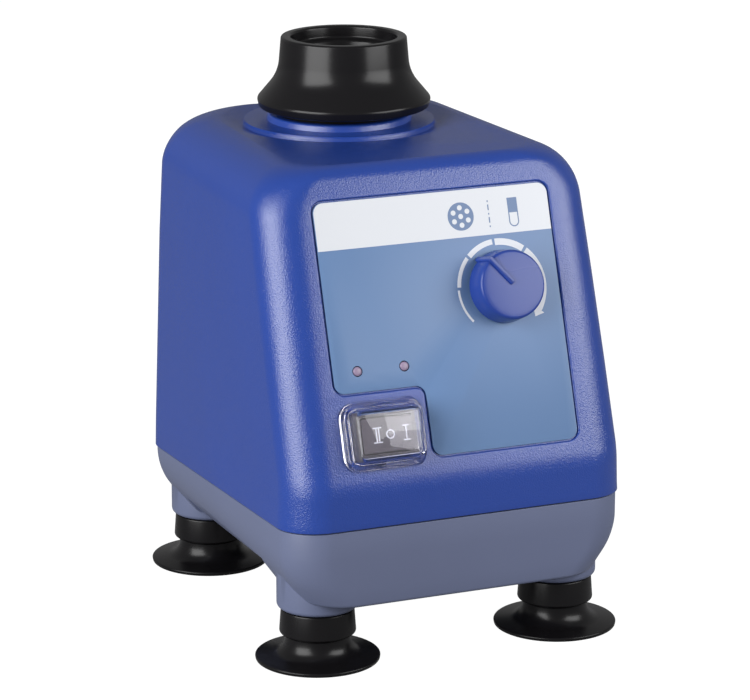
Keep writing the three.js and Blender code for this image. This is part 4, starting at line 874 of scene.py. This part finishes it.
def inner_openings():
    """The screws' bores up the posts, and the opening for the inlet."""
    bores = [rod(SCREW_BORE, 0, POST_TOP - HOUSING_WALL, at(x, y), around=24)
             for x, y in FRONT_POSTS + REAR_POSTS]
    bores += [rod(BOARD_BORE, BOARD_BORE_LOW, BOARD_BORE_HIGH, on_slant(x, BOARD_POST_V),
                  around=20) for x in (-BOARD_POST_X, BOARD_POST_X)]
    opening = rounded_box(0, 0, INLET_WIDTH + INLET_CLEARANCE, INLET_TALL + INLET_CLEARANCE, 1.5)
    return bores + [straight(opening, -THROUGH_REAR, THROUGH_REAR, rear_wall)]


carve(shell, collar_bore(), recess, *front_openings(), *inner_openings())
settle(shell, "root", "housing_blue", "upper_housing")

# %% [markdown]
# ## Base tray
#
# The tray is skinned in the same way. Its sides curve in below, its lower edge is rounded, and
# the last rings follow the parting line. Round bosses carry the feet. They run up into the
# curved sides, and the join leaves the slanting crease over each boss. A sloping cut low on each
# side lets fingers reach under.

# %% The tray's rings
TRAY_STEP, TRAY_BOTTOM = 0.4, 22.4
TRAY_CURVE_TOP, TRAY_CURVE_RADIUS, TRAY_CURVE_ANGLE = 41.0, 21.0, math.radians(36)
TRAY_FRONT_DRAFT = math.tan(math.radians(2))
TRAY_BEND = TRAY_CURVE_RADIUS * math.sin(TRAY_CURVE_ANGLE)


def tray_inset(height):
    """How far the sides have curved in at a height."""
    below = max(TRAY_CURVE_TOP - height, 0)
    bend = min(below, TRAY_BEND)
    return (TRAY_CURVE_RADIUS - math.sqrt(TRAY_CURVE_RADIUS**2 - bend**2)
            + (below - bend) * math.tan(TRAY_CURVE_ANGLE))


def tray_ring(height_at, inset=0.0):
    """One ring of the tray, as housing_ring makes one of the housing."""
    level = height_at(0)
    half = HALF_WIDTH - TRAY_STEP - inset - tray_inset(level)
    reach = HALF_DEPTH - TRAY_STEP - inset - max(TRAY_CURVE_TOP - level, 0) * TRAY_FRONT_DRAFT
    return corner_ring(-reach, reach, lambda y: half - narrowing(y),
                       [CORNER_RADIUS - inset] * 2, height_at)


print("the tray's sides come in by", round(tray_inset(TRAY_BOTTOM), 1), "mm")

# %% The tray's skin, hollow and grips
TRAY_WALL, TRAY_EDGE, TRAY_LIP = 3.2, 1.3, 0.25
TRAY_RINGS, TRAY_HOLLOW_RINGS, CURVE_MARGIN = 12, 4, 0.4
FLOOR_TOP, HOLLOW_HIGH = 25.4, 70
GRIP_HEIGHT, GRIP_DEPTH, GRIP_FRONT, GRIP_REAR = 9.0, 2.6, -37.0, 42.0
GRIP_OVERRUN = 5


def tray_outside():
    """The tray's skin, from its round lower edge up to the parting line."""
    rings = []
    for share in (0, 0.25, 0.5, 0.75, 1):
        turn = share * math.pi / 2
        rings += level_rings(tray_ring, [TRAY_BOTTOM + TRAY_EDGE * (1 - math.cos(turn))],
                             TRAY_EDGE * (1 - math.sin(turn)))
    bend, start = TRAY_BEND - CURVE_MARGIN, TRAY_CURVE_TOP - CURVE_MARGIN
    rings += level_rings(tray_ring, [start - bend * (1 - i / TRAY_RINGS)
                                     for i in range(TRAY_RINGS + 1)])
    rings += lip_rings(tray_ring, lambda y: parting_at(y) - PARTING_GAP / 2, TRAY_LIP, -1)
    return skinned(rings, upright)


def tray_hollow():
    """What is hollow, from the floor up through the open top."""
    levels = [TRAY_CURVE_TOP - TRAY_BEND * (1 - i / TRAY_HOLLOW_RINGS)
              for i in range(TRAY_HOLLOW_RINGS + 1)]
    return skinned(level_rings(tray_ring, [FLOOR_TOP, *levels, HOLLOW_HIGH], TRAY_WALL), upright)


def grip_cutter(side):
    """What stands outside a sloping plane low on one side."""
    half = HALF_WIDTH - TRAY_STEP - REAR_NARROWING / 2
    level = TRAY_BOTTOM + GRIP_HEIGHT
    upper, lower = half - tray_inset(level), half - tray_inset(TRAY_BOTTOM) - GRIP_DEPTH
    low_x = lower - (upper - lower) / GRIP_HEIGHT * GRIP_OVERRUN
    low_z, outer_x = TRAY_BOTTOM - GRIP_OVERRUN, HALF_WIDTH + GRIP_OVERRUN
    outline = [(upper, level), (low_x, low_z), (outer_x, low_z), (outer_x, level)]
    return skinned([[(side * x, y, z) for x, z in outline] for y in (GRIP_FRONT, GRIP_REAR)],
                   upright)


tray = piece("base_tray_shell", tray_outside(), tray_grey)
carve(tray, grip_cutter(-1), grip_cutter(1), tray_hollow())

# %% [markdown]
# On the tray's floor stand pillars for the motor, posts for the housing's screws and two staked
# pins that hold the ballast plate. They are joined on with the feet's bosses, and then every bore
# is cut: those for the feet and the housing are stepped, so that a screw's head has a seat.

# %% What stands on the tray, and its bores
BOSS_RADIUS, BOSS_BOTTOM, BOSS_TOP = 13.4, 17.8, 30.0
FEET = {
    "front_left": (-42.95, -51.6), "front_right": (42.95, -51.6),
    "rear_left": (-38.8, 57.2), "rear_right": (38.8, 57.2),
}
PILLARS = [(x, DRIVE_Y + y) for x in (-37, 37) for y in (-16, 16)]
PILLAR_RADIUS, PILLAR_TOP, PILLAR_BORE, PILLAR_BORE_LOW = 5.0, 55.9, 2.3, 44
PIN_PLACES = [(-20, -26), (20, -26)]
PIN_RADIUS, PIN_HEAD_RADIUS, PIN_HEAD, PIN_HEAD_LOW = 2.5, 4, 1.5, 34.0
FLOOR_MIDDLE, BORE_LOW = 23.9, 10
FOOT_BORE, FOOT_SEAT = (2.3, 24.7), (6.3, 22.1)
HOUSING_BORE, HOUSING_SEAT = (SCREW_BORE, 55), (3.7, FLOOR_TOP)


def stepped_bore(seat, bore, place):
    """A bore with a wider part below it: each is given by its radius and its top."""
    return turned([(0, BORE_LOW), (seat[0], BORE_LOW), seat, (bore[0], seat[1]), bore,
                   (0, bore[1])], place, around=32)


def standing_parts():
    """Bosses, pillars, posts and staked pins."""
    parts = [turned([(0, BOSS_BOTTOM), (BOSS_RADIUS, BOSS_BOTTOM, 1.6), (BOSS_RADIUS, BOSS_TOP),
                     (0, BOSS_TOP)], at(*spot)) for spot in FEET.values()]
    parts += [rod(PILLAR_RADIUS, FLOOR_MIDDLE, PILLAR_TOP, at(*spot)) for spot in PILLARS]
    parts += [rod(POST_RADIUS, FLOOR_MIDDLE, parting_at(y) - POST_GAP, at(x, y))
              for x, y in FRONT_POSTS + REAR_POSTS]
    low, high = PIN_HEAD_LOW, PIN_HEAD_LOW + PIN_HEAD
    parts += [turned([(0, FLOOR_MIDDLE), (PIN_RADIUS, FLOOR_MIDDLE), (PIN_RADIUS, low),
                      (PIN_HEAD_RADIUS, low), (PIN_HEAD_RADIUS, high, 0.6), (0, high)],
                     at(*spot), around=32) for spot in PIN_PLACES]
    return parts


def tray_bores():
    """The bores for the feet, the motor's isolators and the housing."""
    return [
        *[stepped_bore(FOOT_SEAT, FOOT_BORE, at(*spot)) for spot in FEET.values()],
        *[rod(PILLAR_BORE, PILLAR_BORE_LOW, PILLAR_TOP + 2, at(*spot), around=24)
          for spot in PILLARS],
        *[stepped_bore(HOUSING_SEAT, HOUSING_BORE, at(*spot)) for spot in FRONT_POSTS + REAR_POSTS],
    ]


carve(tray, *standing_parts(), how="UNION")
carve(tray, *tray_bores())
settle(tray, "root", "tray_grey", "base_tray")

# %% [markdown]
# ## Feet
#
# Each foot is one turned piece of rubber: a stem that widens a little downward, a step, a narrow
# neck and a thin round brim that grips the bench. Its screw sits up in the hollow under it.

# %% Suction feet
FOOT_PROFILE = [
    (2.3, 21.8), (6.0, 21.8, 0.5), (6.0, 17.5), (12.0, 17.5, 0.6), (12.6, 9.2, 0.9),
    (10.6, 8.5, 0.5), (11.2, 2.7, 5.2), (20.55, 1.3, 0.45), (20.3, 0.0, 0.35), (19.2, 0.0, 0.4),
    (11.0, 2.5, 3.0), (4.1, 4.5, 0.5), (4.1, 8.4), (2.3, 8.4),
]

for name, spot in FEET.items():
    foot = piece(f"suction_foot_{name}", turned(FOOT_PROFILE, at(*spot), around=112), foot_rubber)
    settle(foot, "root", "black_rubber", f"foot_{name}")
    print(foot.name, "has", len(foot.data.polygons), "faces")

# %% [markdown]
# ## Cup head and boot
#
# The cup is soft rubber, also turned. Its outside flares down to a round lip, and its bowl has a
# ledge on which a tube's foot seats. A recess under it clears the boot, a plain rubber ring that
# keeps drips out of the motor. The cup stands on the swinging pin, beside the drive axis.

# %% Cup and boot
CUP_RIM = 188.4
CUP_PROFILE = [
    (0, 14.6), (14.0, 14.6), (14.0, 20.0), (23.6, 20.0), (23.6, 23.8, 0.5), (28.9, 24.0, 0.9),
    (29.5, 21.1, 1.4), (22.4, 12.6, 14.0), (21.3, 0, 0.8), (18.0, 0, 0.9),
    (17.7, 4.0, 0.9), (15.9, 4.9, 0.7), (14.4, 8.8, 2.6), (0, 10.0),
]
BOOT_PROFILE = [(16.6, 158.8), (21.2, 158.8), (21.2, 165.4, 0.9), (16.6, 165.4, 0.6)]

downward = [(radius, CUP_RIM - depth, *fillet) for radius, depth, *fillet in CUP_PROFILE]
cup = piece("rubber_cup", turned(downward, orbit, around=144, steps=10), cup_rubber)
settle(cup, "head", "black_rubber", "cup_head")
boot = piece("rubber_boot", turned(BOOT_PROFILE, drive), boot_rubber)
settle(boot, "root", "black_rubber", "dust_boot")
print("cup and boot have", len(cup.data.polygons), "and", len(boot.data.polygons), "faces")

# %% [markdown]
# ## Panel
#
# The panel is a printed film that lies in its recess. The film is raised from its outline, with
# a small round edge, and gets the holes for the speed control and the lamps.

# %% The film
FILM_EDGE = 0.14

film = piece("panel_film", raised([
    (label_corners(0), -LABEL_THICKNESS), (label_corners(0), -FILM_EDGE),
    (label_corners(-0.05), -0.04), (label_corners(-FILM_EDGE), 0),
], slant), panel_film)
carve(film, rod(KNOB_HOLE, -ABOVE_FACE, ABOVE_FACE, on_slant(KNOB_X, KNOB_V), around=48),
      *[rod(LAMP_RADIUS + LAMP_CLEARANCE, -ABOVE_FACE, ABOVE_FACE, on_slant(x, LAMP_V))
        for x in LAMP_PLACES.values()])
settle(film, "root", "panel_film", "panel_label")

# %% [markdown]
# What is printed on the film is made as very thin raised shapes, which keeps its edges sharp at
# any size and needs no picture: a white band, the speed scale, two small signs and a dividing
# line. What lies on another print is a layer higher. First come the outlines that they use.

# %% Outlines for prints
INK = 0.03
ROUND_SHARE = 0.999


def printed(name, outlines, material, layers=1):
    """Thin prints on the film, joined into one piece."""
    prints = piece(name, joined([
        raised([(outline, -INK), (outline, layers * INK)], slant, steps=10) for outline in outlines
    ]), material)
    settle(prints, "root", "panel_film")
    print(name, "has", len(prints.data.polygons), "faces")


def disc(x, v, radius):
    """Corners of a circle: a square whose round corners all but meet."""
    return rounded_box(x, v, 2 * radius, 2 * radius, radius * ROUND_SHARE)


def polar(x, v, radius, degrees):
    """The point at a distance and direction from another, counterclockwise from the right."""
    turn = math.radians(degrees)
    return x + radius * math.cos(turn), v + radius * math.sin(turn)


def arc_band(x, v, inner, outer, start, end, steps=28):
    """Corners of a band between two radii, over degrees that run counterclockwise."""
    turns = [start + (end - start) * i / steps for i in range(steps + 1)]
    return ([polar(x, v, outer, turn) for turn in turns]
            + [polar(x, v, inner, turn) for turn in reversed(turns)])


# %% [markdown]
# The speed scale is five bands round the knob that widen clockwise, and it ends in an arrow head.

# %% White band and speed scale
BAND_LOW = 76.5
DIAL_OUTER = 15.8
DIAL_BANDS = [
    (179, 221.5, 0.75), (137, 175.5, 1.3), (96, 133.5, 1.75), (52.5, 92.5, 2.15), (-36, 48.5, 2.5),
]
ARROW_HEAD = [(16.9, -35.5), (12.4, -35.5), (15.0, -46)]

edge, top = LABEL_HALF_WIDTH - FILM_EDGE, LABEL_HIGH - FILM_EDGE
band = [(-edge, BAND_LOW), (edge, BAND_LOW), (edge, top, LABEL_CORNER), (-edge, top, LABEL_CORNER)]
arrow = [polar(KNOB_X, KNOB_V, radius, degrees) for radius, degrees in ARROW_HEAD]
scale = [arc_band(KNOB_X, KNOB_V, DIAL_OUTER - width, DIAL_OUTER, start, end)
         for start, end, width in DIAL_BANDS]
printed("print_white", [band, arrow, *scale], print_white)

# %% [markdown]
# The two signs are plain pictures of what the two switch settings are for: a rack of tubes seen
# from above, and one half-filled tube. The grey shapes come first, and white ones open them.

# %% The two signs
SIGN_X, SIGN_V, SIGN_RADIUS = 9.6, 83.3, 4.6
WELL_RADIUS, WELL_CIRCLE, WELL_TURN, WELLS = 0.85, 2.85, 92, 6
TUBE_X, TUBE_LOW, TUBE_HIGH, TUBE_WIDTH, TUBE_WALL = 28.3, 78.4, 87.9, 3.5, 0.38
TUBE_ROUND, TUBE_TOP_ROUND, TUBE_INNER_ROUND = 1.74, 0.1, 1.35
LINE_X, LINE_WIDTH = 19.6, 0.4
DASHES = [(87.4, 0.6), (85.4, 1.9), (83.3, 0.6), (81.3, 1.9), (79.2, 0.6)]

left, right_side = TUBE_X - TUBE_WIDTH / 2, TUBE_X + TUBE_WIDTH / 2
tube = [(left, TUBE_LOW, TUBE_ROUND), (right_side, TUBE_LOW, TUBE_ROUND),
        (right_side, TUBE_HIGH, TUBE_TOP_ROUND), (left, TUBE_HIGH, TUBE_TOP_ROUND)]
dashes = [rounded_box(LINE_X, v, LINE_WIDTH, length, 0.15) for v, length in DASHES]
printed("print_grey", [disc(SIGN_X, SIGN_V, SIGN_RADIUS), tube, *dashes], print_grey, layers=2)

wells = [disc(SIGN_X, SIGN_V, WELL_RADIUS)]
wells += [disc(*polar(SIGN_X, SIGN_V, WELL_CIRCLE, WELL_TURN + 360 / WELLS * i), WELL_RADIUS)
          for i in range(WELLS)]
half, lowest = TUBE_WIDTH / 2 - TUBE_WALL, TUBE_LOW + TUBE_WALL
level = (TUBE_LOW + TUBE_HIGH) / 2 - 0.1
white_part = [(TUBE_X - half, lowest, TUBE_INNER_ROUND), (TUBE_X + half, lowest, TUBE_INNER_ROUND),
              (TUBE_X + half, level), (TUBE_X - half, level)]
printed("print_white_small", [*wells, white_part], print_white, layers=3)

# %% [markdown]
# ## Lamps and knob
#
# Each lamp is a small plastic pin with a low dome, unlit and faintly red.

# %% Lamps
LENS_PROFILE = [
    (0, -7), (LAMP_RADIUS, -7), (LAMP_RADIUS, 0.1, 0.25), (0.9, 0.42, 0.5), (0, 0.5),
]

for side, x in LAMP_PLACES.items():
    lens = piece(f"lamp_lens_{side}", turned(LENS_PROFILE, on_slant(x, LAMP_V), around=32),
                 lamp_red)
    settle(lens, "root", "lamp_red", f"indicator_lens_{side}")
    print(lens.name, "has", len(lens.data.polygons), "faces")

# %% [markdown]
# The knob is a short cone whose face is very slightly domed, so that its shine fades across it.
# Its pointer is a rounded rib that runs from the middle over the rim and down the side. The rib
# could be a separate bar, but on the real knob it is one moulding, so it is joined on before the
# knob is hollowed from below.

# %% Speed knob
KNOB_RADIUS, KNOB_FACE_RADIUS = 12.0, 11.2
KNOB_LOW, KNOB_HIGH, KNOB_DOME = 0.6, 9.2, 0.4
KNOB_HOLLOW = [(0, -1), (8.6, -1), (8.6, 4.2), (3.3, 4.2), (3.3, 8.0), (0, 8.0)]
POINTER_ANGLE = math.radians(128.7)
POINTER_WIDTH, POINTER_RISE, POINTER_REACH, POINTER_START = 1.9, 0.8, 0.9, 0.4
POINTER_LEAN = 1.1
knob_place = on_slant(KNOB_X, KNOB_V) @ Matrix.Rotation(POINTER_ANGLE, 4, "Z")


def rib(end, shrink=0.0):
    """The pointer's outline at one height, drawn in evenly at its sides and its start."""
    start, half = POINTER_START + shrink, POINTER_WIDTH / 2 - shrink
    return [(start, -half, 0.6), (end, -half, 0.5), (end, half, 0.5), (start, half, 0.6)]


def pointer():
    """The rib: its end leans in with the knob's side, and its upper edges are rounded."""
    low_end, top = KNOB_RADIUS + POINTER_REACH, KNOB_HIGH + POINTER_RISE
    levels = [(rib(low_end), KNOB_LOW + 0.1)]
    levels += [(rib(low_end - POINTER_LEAN + shrink * 0.4, shrink), top - drop)
               for shrink, drop in ((0.0, 0.45), (0.12, 0.14), (0.4, 0))]
    return raised(levels, knob_place)


dome = [(KNOB_FACE_RADIUS * share, KNOB_HIGH - KNOB_DOME * share**2)
        for share in (0.8, 0.6, 0.4, 0.2, 0)]
knob = piece("knob", turned([
    (0, KNOB_LOW), (KNOB_RADIUS, KNOB_LOW, 0.35),
    (KNOB_FACE_RADIUS, KNOB_HIGH - KNOB_DOME, 0.95), *dome,
], knob_place, around=128), knob_blue)
carve(knob, pointer(), how="UNION")
carve(knob, turned(KNOB_HOLLOW, knob_place, around=64))
settle(knob, "knob", "housing_blue", "speed_knob")

# %% [markdown]
# ## Switch and its clear cap
#
# The rocker switch is a standard panel part: a bezel, a body behind the panel with its three
# blades, and a rocker in a pocket. The bezel's upper edge is rounded through its levels.

# %% Switch body
BEZEL_WIDTH, BEZEL_LENGTH, BEZEL_LOW, BEZEL_TOP = 21.8, 15.4, 0.3, 2.3
POCKET, POCKET_FLOOR = (18.6, 11.9, 0.4), -2.5
SWITCH_BACK, SWITCH_BACK_LOW = (19.8, 13.2, 0.4), -16
BLADE_PLACES, BLADE_WIDTH, BLADE_LENGTH, BLADE_END = (-6.4, 0, 6.4), 0.8, 6.3, -23
switch_place = on_slant(SWITCH_X, SWITCH_V)


def plain_box(x, v, width, length):
    """Corners of a rectangle that has sharp corners, by its middle and size."""
    return [corner[:2] for corner in rounded_box(x, v, width, length, 0)]


switch_frame = piece("switch_frame", raised([
    (rounded_box(0, 0, BEZEL_WIDTH - less, BEZEL_LENGTH - less, radius), height)
    for less, radius, height in ((0, 1.2, BEZEL_LOW), (0, 1.2, BEZEL_TOP - 0.6),
                                 (0.35, 1.1, BEZEL_TOP - 0.18), (1.2, 0.8, BEZEL_TOP))
], switch_place), frame_grey)
back_block = straight(rounded_box(0, 0, *SWITCH_BACK), SWITCH_BACK_LOW, 1.3, switch_place)
blades = [straight(plain_box(x, 0, BLADE_WIDTH, BLADE_LENGTH), BLADE_END, SWITCH_BACK_LOW + 1,
                   switch_place) for x in BLADE_PLACES]
carve(switch_frame, back_block, *blades, how="UNION")
carve(switch_frame, straight(rounded_box(0, 0, *POCKET), POCKET_FLOOR, 5, switch_place))
settle(switch_frame, "root", "black_plastic", "switch_body")

# %% [markdown]
# The rocker has three positions, and its face is slightly crowned. Seen from the side it is one
# outline, a flat belly with the round of its axle and the crown above, so it is drawn once and
# skinned from end to end, a little smaller at both ends for the round edges.

# %% Rocker
ROCKER_HALF, ROCKER_LENGTH, ROCKER_AXIS = 8.8, 11.3, 1.0
ROCKER_RISE, ROCKER_FALL, CROWN_STEPS = 3.6, 1.0, 8
ROCKER_BELLY = [(-3.04, 0.0), (-1.6, -1.77), (0, -2.2), (1.6, -1.77), (3.04, 0.0)]
ROCKER_ENDS = [(-1, 0.5), (-0.97, 0.15), (-0.9, 0), (0.9, 0), (0.97, 0.15), (1, 0.5)]


def crown(x):
    """Height of the rocker's face at a distance from its middle."""
    return ROCKER_AXIS + ROCKER_RISE - ROCKER_FALL * (x / ROCKER_HALF) ** 2


outline = [(-ROCKER_HALF, 0.0, 0.3), *ROCKER_BELLY, (ROCKER_HALF, 0.0, 0.3)]
outline += [(x, crown(x)) for x in [ROCKER_HALF * i / CROWN_STEPS
                                    for i in range(CROWN_STEPS, -CROWN_STEPS - 1, -1)]]
side_path = rounded_path(outline, steps=4)
rings = []
for share, inset in ROCKER_ENDS:
    shrink = (ROCKER_HALF - inset) / ROCKER_HALF
    rings.append([(p.x * shrink, share * ROCKER_LENGTH / 2, p.y - (inset if p.y > 1 else 0))
                  for p in side_path])
rocker = piece("switch_rocker_key", skinned(rings, switch_place), rocker_grey)
settle(rocker, "rocker", "rocker_grey", "switch_rocker")
print("the rocker has", len(rocker.data.polygons), "faces")

# %% [markdown]
# Its marks are the usual ones for off and on, the one at the left with two strokes for the touch
# setting. They are bars and two half rings, each laid over the crown, so they follow the face.

# %% Marks on the rocker
MARK_LINE, MARK_HEIGHT, SERIF_V = 0.38, 4.2, 2.3
MARK_BARS = [
    (-4.2, 0, MARK_LINE, MARK_HEIGHT), (-3.35, 0, MARK_LINE, MARK_HEIGHT),
    (-3.8, SERIF_V, 3.0, MARK_LINE), (-3.8, -SERIF_V, 3.0, MARK_LINE),
    (6.3, 0, MARK_LINE, MARK_HEIGHT),
    (6.3, SERIF_V, 2.6, MARK_LINE), (6.3, -SERIF_V, 2.6, MARK_LINE),
]
RING_X, RING_INNER, RING_OUTER = 0.55, 1.1, 1.5
MARK_SINK, MARK_LIFT = -0.15, 0.03


def on_crown(outline):
    """A flat outline laid over the rocker's face, sunk into it and standing out a little."""
    points = rounded_path(outline, steps=4)
    return skinned([[(p.x, p.y, crown(p.x) + lift) for p in points]
                    for lift in (MARK_SINK, MARK_LIFT)], switch_place)


marks = [arc_band(RING_X, 0, RING_INNER, RING_OUTER, start, start + 180) for start in (0, 180)]
marks += [plain_box(*bar) for bar in MARK_BARS]
mark_piece = piece("rocker_marks", joined([on_crown(mark) for mark in marks]), print_white)
settle(mark_piece, "rocker", "rocker_grey")
print("the marks have", len(mark_piece.data.polygons), "faces")

# %% [markdown]
# A soft clear cap covers the switch and is pressed through. It goes up in rounded steps, each of
# which catches a bright line of its own, so the steps are given level by level. All its outlines
# have the same straight sides, and only their corners grow. The outer form is raised, and then
# the hollow is cut from below, so the wall has its real thickness, which clear plastic needs.

# %% Clear cap
CAP_STEPS = [
    (28.3, -CAP_SEAT_DEPTH), (28.5, 0.6), (28.5, 1.1), (28.2, 1.4), (27.5, 1.5), (26.9, 1.55),
    (26.7, 1.8), (26.7, 2.2), (26.4, 2.5), (25.8, 2.6), (25.1, 2.65), (24.8, 3.0), (24.3, 4.2),
    (22.9, 6.3), (22.5, 6.95), (21.7, 7.4), (20.6, 7.6),
]
CAP_NARROWER, CAP_STRAIGHT = 6.5, 18.5
CAP_HOLLOW = [
    (22.4, 16.0, 1.4, -2), (22.4, 16.0, 1.4, 2.4), (22.3, 15.9, 1.6, 3.2),
    (20.8, 14.4, 1.6, 6.0), (20.3, 13.9, 1.4, 6.45), (19.6, 13.2, 1.1, 6.6),
]

cap = piece("switch_cap", raised([
    (rounded_box(0, 0, width, width - CAP_NARROWER, (width - CAP_STRAIGHT) / 2), height)
    for width, height in CAP_STEPS
], switch_place), clear_cap)
carve(cap, raised([(rounded_box(0, 0, width, length, radius), height)
                   for width, length, radius, height in CAP_HOLLOW], switch_place))
settle(cap, "root", "clear_cap", "switch_cover")

# %% [markdown]
# ## Power inlet
#
# The inlet in the rear wall is the usual mains type: a flange, a keyed pocket and three pins. The
# photograph shows no cord, so nothing is plugged in.

# %% Inlet and pins
FLANGE_LEVELS = [
    (31, 22.4, 2.6, 0.3), (31, 22.4, 2.6, 2.0), (30.5, 21.9, 2.4, 2.5), (29.8, 21.2, 2.1, 2.7),
]
INLET_DEPTH = -13
POCKET_OUTLINE = [
    (-12, -8.3, 1.2), (12, -8.3, 1.2), (12, 4.6, 0.8), (8.3, 8.3, 0.8), (-8.3, 8.3, 0.8),
    (-12, 4.6, 0.8),
]
PIN_SPOTS = [(-7, -2), (7, -2), (0, 2)]
PIN_LEVELS = [(2, 4, 0.3, -9.6), (2, 4, 0.3, 0.0), (1.4, 3.2, 0.25, 0.7)]


def box_levels(levels, x=0, v=0):
    """A block raised through rounded boxes: width, length, corner radius and height of each."""
    return raised([(rounded_box(x, v, *size), height) for *size, height in levels], rear_wall)


inlet = piece("inlet_socket", box_levels(FLANGE_LEVELS), black_plastic)
carve(inlet, straight(rounded_box(0, 0, INLET_WIDTH, INLET_TALL, 1.2), INLET_DEPTH, 1.5, rear_wall),
      how="UNION")
wide = [(x * 1.04, v * 1.05, radius) for x, v, radius in POCKET_OUTLINE]
carve(inlet, raised([(POCKET_OUTLINE, -9.3), (POCKET_OUTLINE, 2.3), (wide, 2.8), (wide, 6)],
                    rear_wall))
settle(inlet, "root", "black_plastic", "power_inlet")
pins = piece("inlet_pins", joined([box_levels(PIN_LEVELS, *spot) for spot in PIN_SPOTS]), steel)
settle(pins, "root", "steel")
print("the pins have", len(pins.data.polygons), "faces")

# %% [markdown]
# ## What stays from the construction
#
# The parts inside already have their real shape. Each gets the finish that its slot asks for.

# %% Finishes for the parts inside
BY_SLOT = {
    "housing_blue": housing_blue, "tray_grey": tray_grey, "black_rubber": foot_rubber,
    "panel_film": panel_film, "clear_cap": clear_cap, "rocker_grey": rocker_grey,
    "black_plastic": black_plastic, "button_red": button_red, "lamp_red": lamp_red,
    "steel": steel, "iron": iron, "brass": brass, "board_green": board_green,
}
for subpart in frame["record"]["subparts"]:
    node = nodes[subpart["node"]]
    node.data.materials.clear()
    node.data.materials.append(BY_SLOT[subpart["material_slot"]])
print("finished", len(nodes), "construction parts in", len(BY_SLOT), "finishes")
